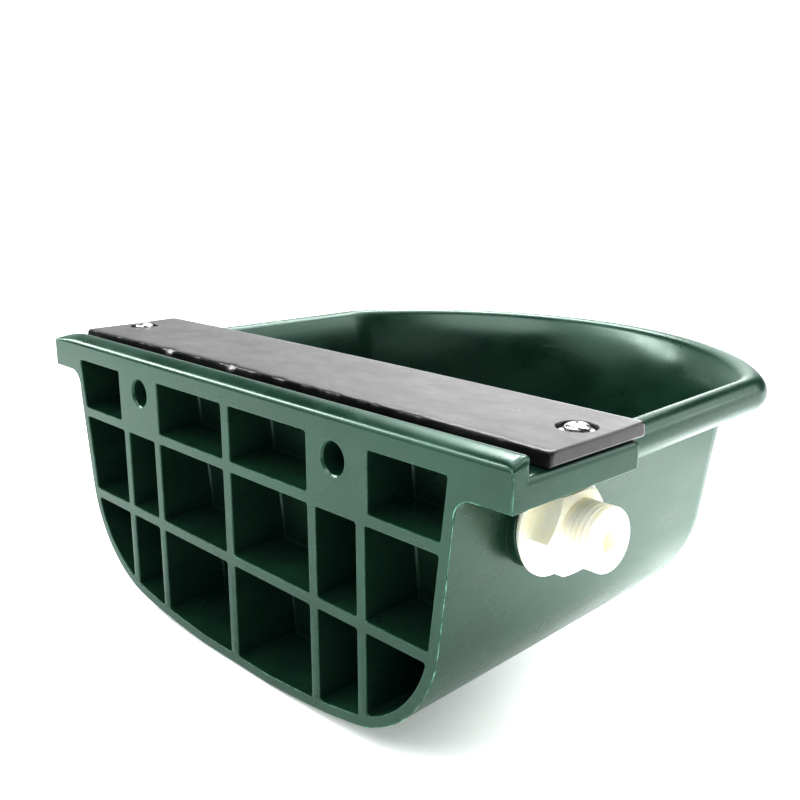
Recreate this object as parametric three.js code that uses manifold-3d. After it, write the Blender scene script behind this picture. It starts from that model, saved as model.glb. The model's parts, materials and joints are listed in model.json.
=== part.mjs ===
// Livestock water trough: a moulded bowl that hangs flat on a wall, with a float valve under a screwed cover.
// Millimetres, +Z up. y = 0 is the flat rear face, the bowl reaches towards -Y, x = 0 is its middle plane,
// and z = 0 is the height of the two wall-bolt holes.
import * as THREE from 'three';
import { mergeVertices } from 'three/addons/utils/BufferGeometryUtils.js';
import Module from 'manifold-3d';

const wasm = await Module();
wasm.setup();

// ---------------------------------------------------------------- driving dimensions

const GAP = 0.3; // clearance between separate pieces that meet
const DEG = Math.PI / 180;

// Plan outline of the bowl, measured on the outside of its wall at z = 0.
const HALF_WIDTH = 133.5; // half width at the rear face
const SIDE_TAPER = 2.5 * DEG; // the side walls close in towards the front
const FRONT_RADIUS = 146.6; // large arc of the front wall
const FRONT_CENTRE_Y = -111;
const CORNER_RADIUS = 20; // between side wall and front arc
const CORNER_GROWTH = 0.35; // the corner gets rounder towards the bottom
const CORNER_SHARE = 0.55; // of the half width, at most
const CORNER_STEPS = 3;
const FRONT_HALF_STEPS = 12;

// Upright section of the bowl: drafted wall, large bottom radius and a slightly bowed bottom.
const WALL_DRAFT = 7.5 * DEG;
const WALL_THICKNESS = 3.2;
const BOTTOM_RADIUS = 57;
const BOTTOM_RADIUS_CENTRE_Z = -49.5;
const BOTTOM_Z = -112.1;
const BOTTOM_BOW_RADIUS = 514;
const BOTTOM_RADIUS_STEPS = 7;
const BOTTOM_BOW_HALF_WIDTHS = [52, 24];

// Rolled rim: an open-bottomed bead around the sides and the front.
const BEAD_OFFSET = 10.4; // from the wall's outside to the middle of the bead
const BEAD_Z = 3.75;
const BEAD_RADIUS = 7.5;
const BEAD_INNER_RADIUS = 4.5;
const BEAD_STEPS = 7;

// Rear frame: rail, ears, ledge, pockets, ribs and bolt bosses.
const RAIL_HALF_LENGTH = 157.5;
const RAIL_BOTTOM_Z = 1;
const RAIL_SHOULDER_Z = 14.6; // where the flat rear face ends and the crowned top begins
const RAIL_DEPTH = 10.8;
const EAR_LENGTH = 70;
const EAR_TOP_Z = 11.7;
const EAR_THICKNESS = 3.5;
const LEDGE_BOTTOM_Z = 7.5;
const POCKET_DEPTH = 21; // at the ledge
const BACK_WALL_SLOPE = 0.1; // the back wall leans forward towards the bottom
const BACK_WALL = 4;
const FRAME_WALL = 4.6;
const RIB_WIDTH = 5;
const CENTRE_RIB_WIDTH = 5.6;
const RIB_X = [57.4, 85.9];
const RIB_Z = [-19, -61.4];
const BOSS_X = [55.6, 90.3];
const WALL_BOLT_X = 71;
const WALL_BOLT_RADIUS = 5.9;

// Cover and its screws.
const COVER_REAR_Y = -17.2;
const COVER_FRONT_Y = -73;
const COVER_BOTTOM_Z = EAR_TOP_Z + GAP;
const COVER_THICKNESS = 5.8;
const COVER_CROWN = 0.9;
const COVER_END_ROUNDING = 2.6; // the top edge is rounded off this far in from each end
const COVER_END_DROP = 1.3;
const LEFT_SCREW = new THREE.Vector2(-144.6, -49);
const RIGHT_SCREW = new THREE.Vector2(145.2, -45.8);
const SCREW_SHANK_RADIUS = 2.4;
const SCREW_HEAD_RADIUS = 4.7;
const SCREW_HEAD_HEIGHT = 2.6;
const COUNTERBORE_RADIUS = 7.3;
const COUNTERBORE_DEPTH = 2.6;
const SCREW_WASHER_RADIUS = 6.6;
const SCREW_WASHER_THICKNESS = 0.8;
const SCREW_END_Z = -2;
const SCREW_NUT_ACROSS_CORNERS = 9.2;
const SCREW_NUT_HEIGHT = 4;

// Float valve. Its axis runs along X through the left side wall.
const VALVE_Y = -49.5;
const VALVE_Z = -20;
const PAD_RADIUS = 18.6;
const OUTER_WASHER_RADIUS = 20;
const INNER_PAD_RADIUS = 21;
const PAD_OUTER_X = -133.2;
const PAD_INNER_X = -122;
const STUB_RADIUS = 12.1;
const STUB_END_X = -160.6;
const STUB_ROUNDING = 1.6;
const INLET_RADIUS = 4.75;
const GASKET_THICKNESS = 1.4;
const SHOULDER_RADIUS = 19;
const SHOULDER_THICKNESS = 4;
const INNER_WASHER_THICKNESS = 2;
const NUT_ACROSS_CORNERS = 34.6;
const NUT_THICKNESS = 10.8;
const NUT_CHAMFER = 1.1;
const NUT_TURN = 117 * DEG;
const BARREL_RADIUS = 12;
const BARREL_BORE = 8.6;
const BARREL_END_X = -84;
const BARREL_FLOOR_X = -112.6;
const OUTLET_HALF_WIDTH = 5;

// Plunger drive: the arm's short leg pushes the plunger onto the nozzle.
const PIVOT_X = -95;
const LEG_LENGTH = 18;
const PIVOT_Z = VALVE_Z - LEG_LENGTH;
const ARM_TRAVEL = 16 * DEG;
const LEG_LEAN = ARM_TRAVEL / 2; // the leg leans as far one way dry as the other way shut
const ARM_SLOPE = 12 * DEG; // the dry arm hangs this far below level
const PLUNGER_TRAVEL = LEG_LENGTH * ARM_TRAVEL;
const NOZZLE_TIP_X = -110.9;
const SEAL_FACE_X = NOZZLE_TIP_X + GAP + PLUNGER_TRAVEL;
const PIN_RADIUS = 2;
const HUB_RADIUS = 4.8;
const HUB_HALF_WIDTH = 3.7;
const PLATE_HALF_WIDTH = 3.4;
const LUG_INNER = 4.3;
const LUG_OUTER = 7.1;
const LUG_RADIUS = 6;
const SLOT_HALF_WIDTH = 2.9; // across the leg, in the barrel and along it in the plunger
const SLOT_HALF_LENGTH = 6.5;
const LEG_HALF_WIDTH = 1.8;
const LEG_TIP_RADIUS = 2.5;
const SEAL_RADIUS = 5.4;
const SEAL_THICKNESS = 2.2;

// Float and its rod, in the arm's own frame: +X along the arm, origin at the pivot.
const FLOAT_SIDESTEP = -6; // towards the front, clear of the back wall
const FLOAT_CENTRE = 125;
const FLOAT_HALF_LENGTH = 38;
const FLOAT_RADIUS = 18;
const FLOAT_SKIN = 1.6;
const ROD_RADIUS = 2.5;
const ROD_START = 28.3;
const SOCKET_RADIUS = 6.2;
const SOCKET_START = 24;
const SOCKET_END = 42;
const ROD_NUT_HEIGHT = 4;
const ROD_NUT_ACROSS_CORNERS = 11;

// ---------------------------------------------------------------- finishes

const finish = (color, roughness, metalness = 0) => new THREE.MeshStandardMaterial({ color, roughness, metalness });
const GREEN_PLASTIC = finish(0x173f33, 0.42);
const BLACK_PLASTIC = finish(0x2b2b2d, 0.5);
const WHITE_PLASTIC = finish(0xf2eed8, 0.4);
const BLACK_RUBBER = finish(0x1c1c1c, 0.8);
const BRIGHT_STEEL = finish(0xc9ccd0, 0.28, 1);
const FLOAT_PLASTIC = finish(0xe8e6dc, 0.45);

// ---------------------------------------------------------------- shape helpers

// A closed triangle mesh as a solid that can be joined and cut.
function solid(geometry) {
  const bare = geometry.clone();
  bare.deleteAttribute('normal');
  bare.deleteAttribute('uv');
  const merged = mergeVertices(bare, 1e-4);
  return new wasm.Manifold(new wasm.Mesh({
    numProp: 3,
    vertProperties: merged.attributes.position.array,
    triVerts: Uint32Array.from(merged.index.array),
  }));
}

function geometryOf(manifold) {
  const mesh = manifold.getMesh();
  const geometry = new THREE.BufferGeometry();
  geometry.setAttribute('position', new THREE.BufferAttribute(mesh.vertProperties, 3));
  geometry.setIndex(new THREE.BufferAttribute(mesh.triVerts, 1));
  geometry.computeVertexNormals();
  return geometry;
}

const cutAll = (body, tools) => tools.reduce((left, tool) => left.subtract(tool), body);
const joinAll = (pieces) => pieces.reduce((sum, piece) => sum.add(piece));

// Skins a stack of closed rings, each a list of Vector3 that runs anticlockwise seen against the stack's direction.
// The outlines are the two end rings as flat contours, for their caps.
function loft(rings, firstOutline, lastOutline) {
  const count = rings[0].length;
  const positions = rings.flat().flatMap((point) => [point.x, point.y, point.z]);
  const index = [];
  for (let ring = 0; ring + 1 < rings.length; ring += 1) {
    for (let j = 0; j < count; j += 1) {
      const a = ring * count + j;
      const b = ring * count + (j + 1) % count;
      index.push(a, b, b + count, a, b + count, a + count);
    }
  }
  const lastStart = (rings.length - 1) * count;
  THREE.ShapeUtils.triangulateShape(firstOutline, []).forEach(([a, b, c]) => index.push(c, b, a));
  THREE.ShapeUtils.triangulateShape(lastOutline, []).forEach(([a, b, c]) => {
    index.push(lastStart + a, lastStart + b, lastStart + c);
  });
  const geometry = new THREE.BufferGeometry();
  geometry.setAttribute('position', new THREE.Float32BufferAttribute(positions, 3));
  geometry.setIndex(index);
  return geometry;
}

const outlineOf = (pairs) => pairs.map(([a, b]) => new THREE.Vector2(a, b));
const shapeOf = (pairs) => new THREE.Shape(outlineOf(pairs));

function extruded(shape, depth, curveSegments = 12) {
  return new THREE.ExtrudeGeometry(shape, { depth, bevelEnabled: false, curveSegments });
}

// Prisms along each axis: the outline's pairs are the two other coordinates in the order given.
const prismZ = (shape, z0, z1) => extruded(shape, z1 - z0).translate(0, 0, z0);
const prismY = (shapeXZ, y0, y1) => extruded(shapeXZ, y1 - y0).rotateX(Math.PI / 2).translate(0, y1, 0);

function block(x0, x1, y0, y1, z0, z1) {
  const box = new THREE.BoxGeometry(x1 - x0, y1 - y0, z1 - z0);
  return box.translate((x0 + x1) / 2, (y0 + y1) / 2, (z0 + z1) / 2);
}

// Bodies of revolution from [radius, position] pairs, anticlockwise with the radius to the right.
const lathe = (pairs, segments) => new THREE.LatheGeometry(outlineOf(pairs), segments);
const turnedX = (pairs, segments = 32) => lathe(pairs, segments).rotateZ(-Math.PI / 2);
const turnedZ = (pairs, segments = 32) => lathe(pairs, segments).rotateX(Math.PI / 2);

// A ring profile with a rectangular section, closed on itself.
const ringProfile = (inner, outer, from, to) => [[inner, from], [outer, from], [outer, to], [inner, to], [inner, from]];
const discProfile = (radius, from, to) => [[0, from], [radius, from], [radius, to], [0, to]];

function hexagonWithHole(acrossCorners, holeRadius) {
  const corners = Array.from({ length: 6 }, (_, k) => {
    const angle = k * Math.PI / 3;
    return [acrossCorners / 2 * Math.cos(angle), acrossCorners / 2 * Math.sin(angle)];
  });
  const shape = shapeOf(corners);
  shape.holes.push(new THREE.Path().absarc(0, 0, holeRadius, 0, 2 * Math.PI, true));
  return shape;
}

const root = new THREE.Group();

function addPiece(name, geometry, material, parent = root) {
  const mesh = new THREE.Mesh(geometry, material);
  mesh.name = name;
  parent.add(mesh);
}

// ---------------------------------------------------------------- bowl outline

// Half of the D-shaped plan outline at a distance outside (or, negative, inside) the wall line, on the +X side from
// the rear to the front tip. Each entry has the point and the outward direction.
function halfPlan(offset, rearY) {
  const along = new THREE.Vector2(-Math.sin(SIDE_TAPER), -Math.cos(SIDE_TAPER));
  const outward = new THREE.Vector2(Math.cos(SIDE_TAPER), -Math.sin(SIDE_TAPER));
  const frontCentre = new THREE.Vector2(0, FRONT_CENTRE_Y);
  const frontRadius = FRONT_RADIUS + offset;
  const growth = offset < 0 ? -CORNER_GROWTH : 1;
  const sideStart = new THREE.Vector2(HALF_WIDTH, 0).addScaledVector(outward, offset);
  const halfWidthInFront = sideStart.x + FRONT_CENTRE_Y * Math.tan(SIDE_TAPER);
  const corner = Math.min(CORNER_RADIUS + growth * offset, CORNER_SHARE * halfWidthInFront);
  const inset = sideStart.clone().addScaledVector(outward, -corner).sub(frontCentre);
  const reach = frontRadius - corner;
  const half = inset.dot(along);
  const toCorner = -half + Math.sqrt(half * half - inset.lengthSq() + reach * reach);
  const cornerCentre = inset.clone().addScaledVector(along, toCorner).add(frontCentre);
  const cornerStart = -SIDE_TAPER;
  const cornerEnd = cornerCentre.clone().sub(frontCentre).angle() - 2 * Math.PI;

  const rearDistance = (rearY - sideStart.y) / along.y;
  const points = [{ at: sideStart.clone().addScaledVector(along, rearDistance), outward }];
  const pushArc = (centre, radius, from, to, steps, first) => {
    for (let i = first; i <= steps; i += 1) {
      const angle = from + (to - from) * i / steps;
      const direction = new THREE.Vector2(Math.cos(angle), Math.sin(angle));
      points.push({ at: centre.clone().addScaledVector(direction, radius), outward: direction });
    }
  };
  pushArc(cornerCentre, corner, cornerStart, cornerEnd, CORNER_STEPS, 0);
  pushArc(frontCentre, frontRadius, cornerEnd, -Math.PI / 2, FRONT_HALF_STEPS, 1);
  return points;
}

// The whole outline, from the +X rear end round the front to the -X rear end.
function plan(offset, rearY) {
  const right = halfPlan(offset, rearY);
  const left = right.slice(0, -1).reverse().map(({ at, outward }) => ({
    at: new THREE.Vector2(-at.x, at.y),
    outward: new THREE.Vector2(-outward.x, outward.y),
  }));
  return [...right, ...left];
}

// A level ring of the bowl, anticlockwise seen from above.
function planRing(offset, z, rearY) {
  return plan(offset, rearY).reverse().map(({ at }) => new THREE.Vector3(at.x, at.y, z));
}

// Upright section of the wall and bottom as [offset, z] pairs from the bottom up to topZ, at a depth inside the
// outside surface.
function wallSection(depth, topZ) {
  const radius = BOTTOM_RADIUS - depth;
  const centreOffset = (-BOTTOM_RADIUS + Math.sin(WALL_DRAFT) * BOTTOM_RADIUS_CENTRE_Z) / Math.cos(WALL_DRAFT);
  const bow = (halfWidth) => BOTTOM_Z + depth + halfWidth * halfWidth / (2 * BOTTOM_BOW_RADIUS);
  const section = BOTTOM_BOW_HALF_WIDTHS.slice().reverse().map((halfWidth) => [halfWidth - HALF_WIDTH, bow(halfWidth)]);
  const lowest = Math.asin((HALF_WIDTH + centreOffset) / (BOTTOM_BOW_RADIUS - BOTTOM_RADIUS));
  const from = -Math.PI / 2 + lowest;
  for (let i = 0; i <= BOTTOM_RADIUS_STEPS; i += 1) {
    const angle = from + (-WALL_DRAFT - from) * i / BOTTOM_RADIUS_STEPS;
    section.push([centreOffset + radius * Math.cos(angle), BOTTOM_RADIUS_CENTRE_Z + radius * Math.sin(angle)]);
  }
  section.push([topZ * Math.tan(WALL_DRAFT) - depth / Math.cos(WALL_DRAFT), topZ]);
  return section;
}

function ringStack(section, rearYAt) {
  const rings = section.map(([offset, z]) => planRing(offset, z, rearYAt(z)));
  const flat = (ring) => ring.map(({ x, y }) => new THREE.Vector2(x, y));
  return loft(rings, flat(rings[0]), flat(rings[rings.length - 1]));
}

// Front side of the ribbed rear frame, as the basin sees it.
const backWallY = (z) => -(POCKET_DEPTH + BACK_WALL + BACK_WALL_SLOPE * (LEDGE_BOTTOM_Z - z));

// ---------------------------------------------------------------- bowl

const FLARE = [[-4.5, -10], [-3.1, -5], [-1, 0], [1.4, 4.2], [4.3, 7.8]];
const BASIN_CUT_TOP = 30;

// The space that holds the water, with the flare that leads up onto the rim.
function basinCut() {
  const section = [
    ...wallSection(WALL_THICKNESS, -20),
    ...FLARE,
    [4, BASIN_CUT_TOP],
  ];
  return solid(ringStack(section, backWallY));
}

function beadArc(radius, from, to) {
  return Array.from({ length: BEAD_STEPS + 1 }, (_, i) => {
    const angle = (from + (to - from) * i / BEAD_STEPS) * DEG;
    return [BEAD_OFFSET + radius * Math.cos(angle), BEAD_Z + radius * Math.sin(angle)];
  });
}

// The rolled rim, swept round the sides and the front. Its inner edge overhangs the basin, which trims it.
function rim() {
  const section = outlineOf([
    [-3, -15],
    [-2.4, -11],
    [0.4, -7],
    [2.8, -3.2],
    [5.2, 0.6],
    ...beadArc(BEAD_INNER_RADIUS, 180, -60),
    ...beadArc(BEAD_RADIUS, -60, 150),
    [2.4, 7.75],
    [-3, 0],
    [-7, -15],
  ]);
  const stations = plan(0, -EAR_LENGTH + 2);
  const rings = stations.map(({ at, outward }) => section.map(({ x: offset, y: z }) => (
    new THREE.Vector3(at.x + outward.x * offset, at.y + outward.y * offset, z)
  )));
  return solid(loft(rings, section, section));
}

// The rail's upright section: crowned top with rounded edges. Near the ends the crown is scaled down towards the
// shoulder.
function railSection(x, crown) {
  const pairs = [
    [-RAIL_DEPTH, RAIL_BOTTOM_Z],
    [0, RAIL_BOTTOM_Z],
    [0, RAIL_SHOULDER_Z],
    [-0.7, RAIL_SHOULDER_Z + 1.6 * crown],
    [-2.4, RAIL_SHOULDER_Z + 2.5 * crown],
    [-5.5, RAIL_SHOULDER_Z + 3.6 * crown],
    [-8.2, RAIL_SHOULDER_Z + 4.1 * crown],
    [-10, RAIL_SHOULDER_Z + 3.4 * crown],
    [-RAIL_DEPTH, RAIL_SHOULDER_Z + 1.6 * crown],
  ];
  return pairs.map(([y, z]) => new THREE.Vector3(x, y, z));
}

function rail() {
  const leftEnd = [[0, 0.1], [0.9, 0.55], [2.2, 0.88], [4.2, 1]];
  const rightEnd = [[18, 1], [9, 0.72], [2.6, 0.45], [0, 0.2]];
  const rings = [
    ...leftEnd.map(([inset, crown]) => railSection(inset - RAIL_HALF_LENGTH, crown)),
    ...rightEnd.map(([inset, crown]) => railSection(RAIL_HALF_LENGTH - inset, crown)),
  ];
  const flat = (ring) => ring.map(({ y, z }) => new THREE.Vector2(y, z));
  return solid(loft(rings, flat(rings[0]), flat(rings[rings.length - 1])));
}

// A rounded rectangle in plan, as a ring at one height.
function roundedRing(x0, x1, y0, y1, radius, z) {
  const shape = new THREE.Shape();
  shape.absarc(x1 - radius, y1 - radius, radius, 0, Math.PI / 2);
  shape.absarc(x0 + radius, y1 - radius, radius, Math.PI / 2, Math.PI);
  shape.absarc(x0 + radius, y0 + radius, radius, Math.PI, 1.5 * Math.PI);
  shape.absarc(x1 - radius, y0 + radius, radius, 1.5 * Math.PI, 2 * Math.PI);
  const points = shape.getPoints(3).slice(0, -1);
  return points.map(({ x, y }) => new THREE.Vector3(x, y, z));
}

// A side flange with a rounded top edge, hollow from below, on the side given by its sign.
function ear(side) {
  const innerX = HALF_WIDTH - 10;
  const edge = [[0, RAIL_BOTTOM_Z], [0, EAR_TOP_Z - 3], [0.9, EAR_TOP_Z - 0.9], [3, EAR_TOP_Z]];
  const rings = edge.map(([inset, z]) => {
    const near = innerX * side;
    const far = (RAIL_HALF_LENGTH - inset) * side;
    return roundedRing(Math.min(near, far), Math.max(near, far), -EAR_LENGTH + inset, -2, 3, z);
  });
  const flat = (ring) => ring.map(({ x, y }) => new THREE.Vector2(x, y));
  return solid(loft(rings, flat(rings[0]), flat(rings[rings.length - 1])));
}

function earHollow(side) {
  const x0 = HALF_WIDTH + 1.5;
  const x1 = RAIL_HALF_LENGTH - EAR_THICKNESS;
  const xs = [x0 * side, x1 * side].sort((a, b) => a - b);
  return solid(block(...xs, -EAR_LENGTH + EAR_THICKNESS, -4, RAIL_BOTTOM_Z - 6, EAR_TOP_Z - EAR_THICKNESS));
}

// Concave corner between the body's side and the ear's underside, flush with the rear face.
function rearFillet(side) {
  const x = HALF_WIDTH - 0.5;
  const reach = 8;
  const shape = new THREE.Shape();
  shape.moveTo(x - 3, RAIL_BOTTOM_Z + 1);
  shape.lineTo(x - 3, RAIL_BOTTOM_Z - reach - 2);
  shape.lineTo(x - 0.9, RAIL_BOTTOM_Z - reach);
  shape.absarc(x - 0.9 + reach, RAIL_BOTTOM_Z - reach, reach, Math.PI, Math.PI / 2, true);
  shape.lineTo(x + reach, RAIL_BOTTOM_Z + 1);
  const geometry = prismY(shape, -4, 0);
  return solid(side > 0 ? geometry : geometry.rotateZ(Math.PI).translate(0, -4, 0));
}

// The open cells of the rear frame: the whole hollow less its ribs and the two bolt bosses.
function rearCells() {
  const section = wallSection(FRAME_WALL, LEDGE_BOTTOM_Z);
  const right = section.map(([offset, z]) => [HALF_WIDTH + offset, z]);
  const left = right.slice().reverse().map(([x, z]) => [-x, z]);
  const hollow = solid(prismY(shapeOf([...right, ...left]), -40, 1));
  const floorAt = (z) => -(POCKET_DEPTH + BACK_WALL_SLOPE * (LEDGE_BOTTOM_Z - z));
  const low = BOTTOM_Z - 5;
  const high = LEDGE_BOTTOM_Z + 5;
  const reach = extruded(shapeOf([[2, low], [2, high], [floorAt(high), high], [floorAt(low), low]]), 2 * HALF_WIDTH);
  const alongX = new THREE.Matrix4().makeBasis(
    new THREE.Vector3(0, 1, 0),
    new THREE.Vector3(0, 0, 1),
    new THREE.Vector3(1, 0, 0),
  );
  const room = solid(reach.applyMatrix4(alongX).translate(-HALF_WIDTH, 0, 0));
  const upright = (x, width) => solid(block(x - width / 2, x + width / 2, -45, 5, BOTTOM_Z - 5, LEDGE_BOTTOM_Z + 5));
  const level = (z) => solid(block(-HALF_WIDTH, HALF_WIDTH, -45, 5, z - RIB_WIDTH / 2, z + RIB_WIDTH / 2));
  const boss = (side) => {
    const xs = BOSS_X.map((x) => x * side).sort((a, b) => a - b);
    return solid(block(...xs, -45, 5, RIB_Z[0], LEDGE_BOTTOM_Z + 5));
  };
  return cutAll(hollow.intersect(room), [
    upright(0, CENTRE_RIB_WIDTH),
    ...[-1, 1].flatMap((side) => RIB_X.map((x) => upright(x * side, RIB_WIDTH))),
    ...RIB_Z.map(level),
    boss(-1),
    boss(1),
  ]);
}

function boreY(x, z, radius, y0, y1) {
  const shape = new THREE.Shape().absarc(x, z, radius, 0, 2 * Math.PI);
  return solid(prismY(shape, y0, y1));
}

function atValve(geometry) {
  return geometry.translate(0, VALVE_Y, VALVE_Z);
}

function bowl() {
  const body = solid(ringStack(wallSection(0, RAIL_BOTTOM_Z + 1), () => 0));
  const ledge = solid(block(-HALF_WIDTH + 1, HALF_WIDTH - 1, -POCKET_DEPTH - BACK_WALL - 3, -1, -2, EAR_TOP_Z));
  const outside = joinAll([body, ledge, rim(), ear(-1), ear(1), rail(), rearFillet(-1), rearFillet(1)]);
  const outerPad = solid(atValve(turnedX(discProfile(PAD_RADIUS, PAD_OUTER_X, PAD_INNER_X - 2))));
  const innerPad = solid(atValve(turnedX(discProfile(INNER_PAD_RADIUS, PAD_INNER_X - 4, PAD_INNER_X))));
  const valveHole = solid(atValve(turnedX(discProfile(STUB_RADIUS + GAP, PAD_OUTER_X - 5, PAD_INNER_X + 5))));
  const screwHole = ({ x, y }) => solid(
    turnedZ(discProfile(SCREW_SHANK_RADIUS + 0.4, 0, EAR_TOP_Z + 1), 16).translate(x, y, 0),
  );
  const shell = joinAll([outside.subtract(basinCut()), outerPad, innerPad]);
  return cutAll(shell, [
    rearCells(),
    earHollow(-1),
    earHollow(1),
    valveHole,
    screwHole(LEFT_SCREW),
    screwHole(RIGHT_SCREW),
    boreY(-WALL_BOLT_X, 0, WALL_BOLT_RADIUS, -40, 2),
    boreY(WALL_BOLT_X, 0, WALL_BOLT_RADIUS, -40, 2),
  ]);
}

addPiece('bowl', geometryOf(bowl()), GREEN_PLASTIC);

// ---------------------------------------------------------------- cover and fasteners

const coverUnderAt = (x) => COVER_BOTTOM_Z + COVER_CROWN * (1 - (x / RAIL_HALF_LENGTH) ** 2);
const coverTopAt = (x) => coverUnderAt(x) + COVER_THICKNESS;

function coverPlate() {
  const steps = 10;
  const topEnd = RAIL_HALF_LENGTH - COVER_END_ROUNDING;
  const under = Array.from({ length: steps + 1 }, (_, i) => RAIL_HALF_LENGTH * (2 * i / steps - 1))
    .map((x) => [x, coverUnderAt(x)]);
  const over = Array.from({ length: steps + 1 }, (_, i) => topEnd * (1 - 2 * i / steps))
    .map((x) => [x, coverTopAt(x)]);
  const endEdge = (side) => [
    [side * RAIL_HALF_LENGTH, coverTopAt(RAIL_HALF_LENGTH) - COVER_END_DROP],
    [side * (RAIL_HALF_LENGTH - COVER_END_ROUNDING * 0.3), coverTopAt(RAIL_HALF_LENGTH) - COVER_END_DROP * 0.4],
  ];
  const outline = [...under, ...endEdge(1), ...over, ...endEdge(-1).reverse()];
  const plate = solid(prismY(shapeOf(outline), COVER_FRONT_Y, COVER_REAR_Y));
  const holes = [LEFT_SCREW, RIGHT_SCREW].flatMap(({ x, y }) => {
    const floor = coverTopAt(x) - COUNTERBORE_DEPTH;
    return [
      turnedZ(discProfile(COUNTERBORE_RADIUS, floor, floor + 9)).translate(x, y, 0),
      turnedZ(discProfile(SCREW_SHANK_RADIUS + 0.5, floor - 9, floor + 1), 16).translate(x, y, 0),
    ];
  });
  return cutAll(plate, holes.map(solid));
}

addPiece('cover_plate', geometryOf(coverPlate()), BLACK_PLASTIC);

// A dome-headed screw, its washer in the counterbore, and the nut inside the ear.
function addCoverFastener({ x, y }, sideName) {
  const holder = new THREE.Group();
  holder.position.set(x, y, 0);
  root.add(holder);
  const washerZ = coverTopAt(x) - COUNTERBORE_DEPTH + GAP;
  const headZ = washerZ + SCREW_WASHER_THICKNESS + GAP;
  const domeSteps = 5;
  const dome = Array.from({ length: domeSteps + 1 }, (_, i) => {
    const angle = i / domeSteps * Math.PI / 2;
    return [SCREW_HEAD_RADIUS * Math.cos(angle), headZ + 0.6 + (SCREW_HEAD_HEIGHT - 0.6) * Math.sin(angle)];
  });
  dome[domeSteps][0] = 0;
  const screw = [[0, SCREW_END_Z], [SCREW_SHANK_RADIUS, SCREW_END_Z], [SCREW_SHANK_RADIUS, headZ]];
  screw.push([SCREW_HEAD_RADIUS, headZ], ...dome);
  addPiece(`cover_screw_${sideName}`, turnedZ(screw, 20), BRIGHT_STEEL, holder);
  const washer = ringProfile(SCREW_SHANK_RADIUS + GAP, SCREW_WASHER_RADIUS, washerZ, washerZ + SCREW_WASHER_THICKNESS);
  addPiece(`cover_washer_${sideName}`, turnedZ(washer, 24), BRIGHT_STEEL, holder);
  const nutTop = EAR_TOP_Z - EAR_THICKNESS - GAP;
  const nut = prismZ(
    hexagonWithHole(SCREW_NUT_ACROSS_CORNERS, SCREW_SHANK_RADIUS + GAP),
    nutTop - SCREW_NUT_HEIGHT,
    nutTop,
  );
  addPiece(`cover_nut_${sideName}`, nut, BRIGHT_STEEL, holder);
}

addCoverFastener(LEFT_SCREW, 'left');
addCoverFastener(RIGHT_SCREW, 'right');

// ---------------------------------------------------------------- valve, fixed pieces

const OUTER_GASKET_X = PAD_OUTER_X - GAP - GASKET_THICKNESS;
const OUTER_WASHER_X = OUTER_GASKET_X - GAP - GASKET_THICKNESS;
const NUT_X = OUTER_WASHER_X - GAP - NUT_THICKNESS;
const INNER_WASHER_X = PAD_INNER_X + GAP;
const SHOULDER_X = INNER_WASHER_X + INNER_WASHER_THICKNESS + GAP;

// Threaded stub, shoulder and barrel in one moulding, with two lugs that carry the arm's pin.
function valveBody() {
  const turned = solid(turnedX([
    [INLET_RADIUS, STUB_END_X],
    [STUB_RADIUS - STUB_ROUNDING, STUB_END_X],
    [STUB_RADIUS - 0.3 * STUB_ROUNDING, STUB_END_X + 0.3 * STUB_ROUNDING],
    [STUB_RADIUS, STUB_END_X + STUB_ROUNDING],
    [STUB_RADIUS, SHOULDER_X],
    [SHOULDER_RADIUS, SHOULDER_X],
    [SHOULDER_RADIUS, SHOULDER_X + SHOULDER_THICKNESS],
    [BARREL_RADIUS, SHOULDER_X + SHOULDER_THICKNESS],
    [BARREL_RADIUS, BARREL_END_X],
    [BARREL_BORE, BARREL_END_X],
    [BARREL_BORE, BARREL_FLOOR_X],
    [INLET_RADIUS, BARREL_FLOOR_X],
    [INLET_RADIUS, STUB_END_X],
  ]));
  const lugTop = 3 - BARREL_RADIUS;
  const drop = PIVOT_Z - VALVE_Z;
  const lug = (y0, y1) => {
    const shape = new THREE.Shape();
    shape.moveTo(PIVOT_X + LUG_RADIUS, lugTop);
    shape.lineTo(PIVOT_X - LUG_RADIUS, lugTop);
    shape.absarc(PIVOT_X, drop, LUG_RADIUS, Math.PI, 2 * Math.PI);
    return solid(prismY(shape, y0, y1));
  };
  const pinHole = boreY(PIVOT_X, drop, PIN_RADIUS + GAP, -LUG_OUTER - 2, LUG_OUTER + 2);
  const underBarrel = (x0, x1, halfWidth) => {
    return solid(block(x0, x1, -halfWidth, halfWidth, -BARREL_RADIUS - 4, 2.6 - BARREL_BORE));
  };
  const legSlot = underBarrel(PIVOT_X - SLOT_HALF_LENGTH, PIVOT_X + SLOT_HALF_LENGTH, SLOT_HALF_WIDTH);
  const outlet = underBarrel(BARREL_FLOOR_X + 1.1, BARREL_FLOOR_X + 8.1, OUTLET_HALF_WIDTH);
  const joined = joinAll([turned, lug(-LUG_OUTER, -LUG_INNER), lug(LUG_INNER, LUG_OUTER)]);
  return atValve(geometryOf(cutAll(joined, [pinHole, legSlot, outlet])));
}

addPiece('valve_body', valveBody(), WHITE_PLASTIC);

const boreOnStub = STUB_RADIUS + GAP;
const outerGasket = ringProfile(boreOnStub, PAD_RADIUS, OUTER_GASKET_X, OUTER_GASKET_X + GASKET_THICKNESS);
addPiece('outer_gasket', atValve(turnedX(outerGasket, 36)), WHITE_PLASTIC);

const outerWasher = ringProfile(boreOnStub, OUTER_WASHER_RADIUS, OUTER_WASHER_X, OUTER_WASHER_X + GASKET_THICKNESS);
addPiece('outer_washer', atValve(turnedX(outerWasher, 36)), WHITE_PLASTIC);

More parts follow.
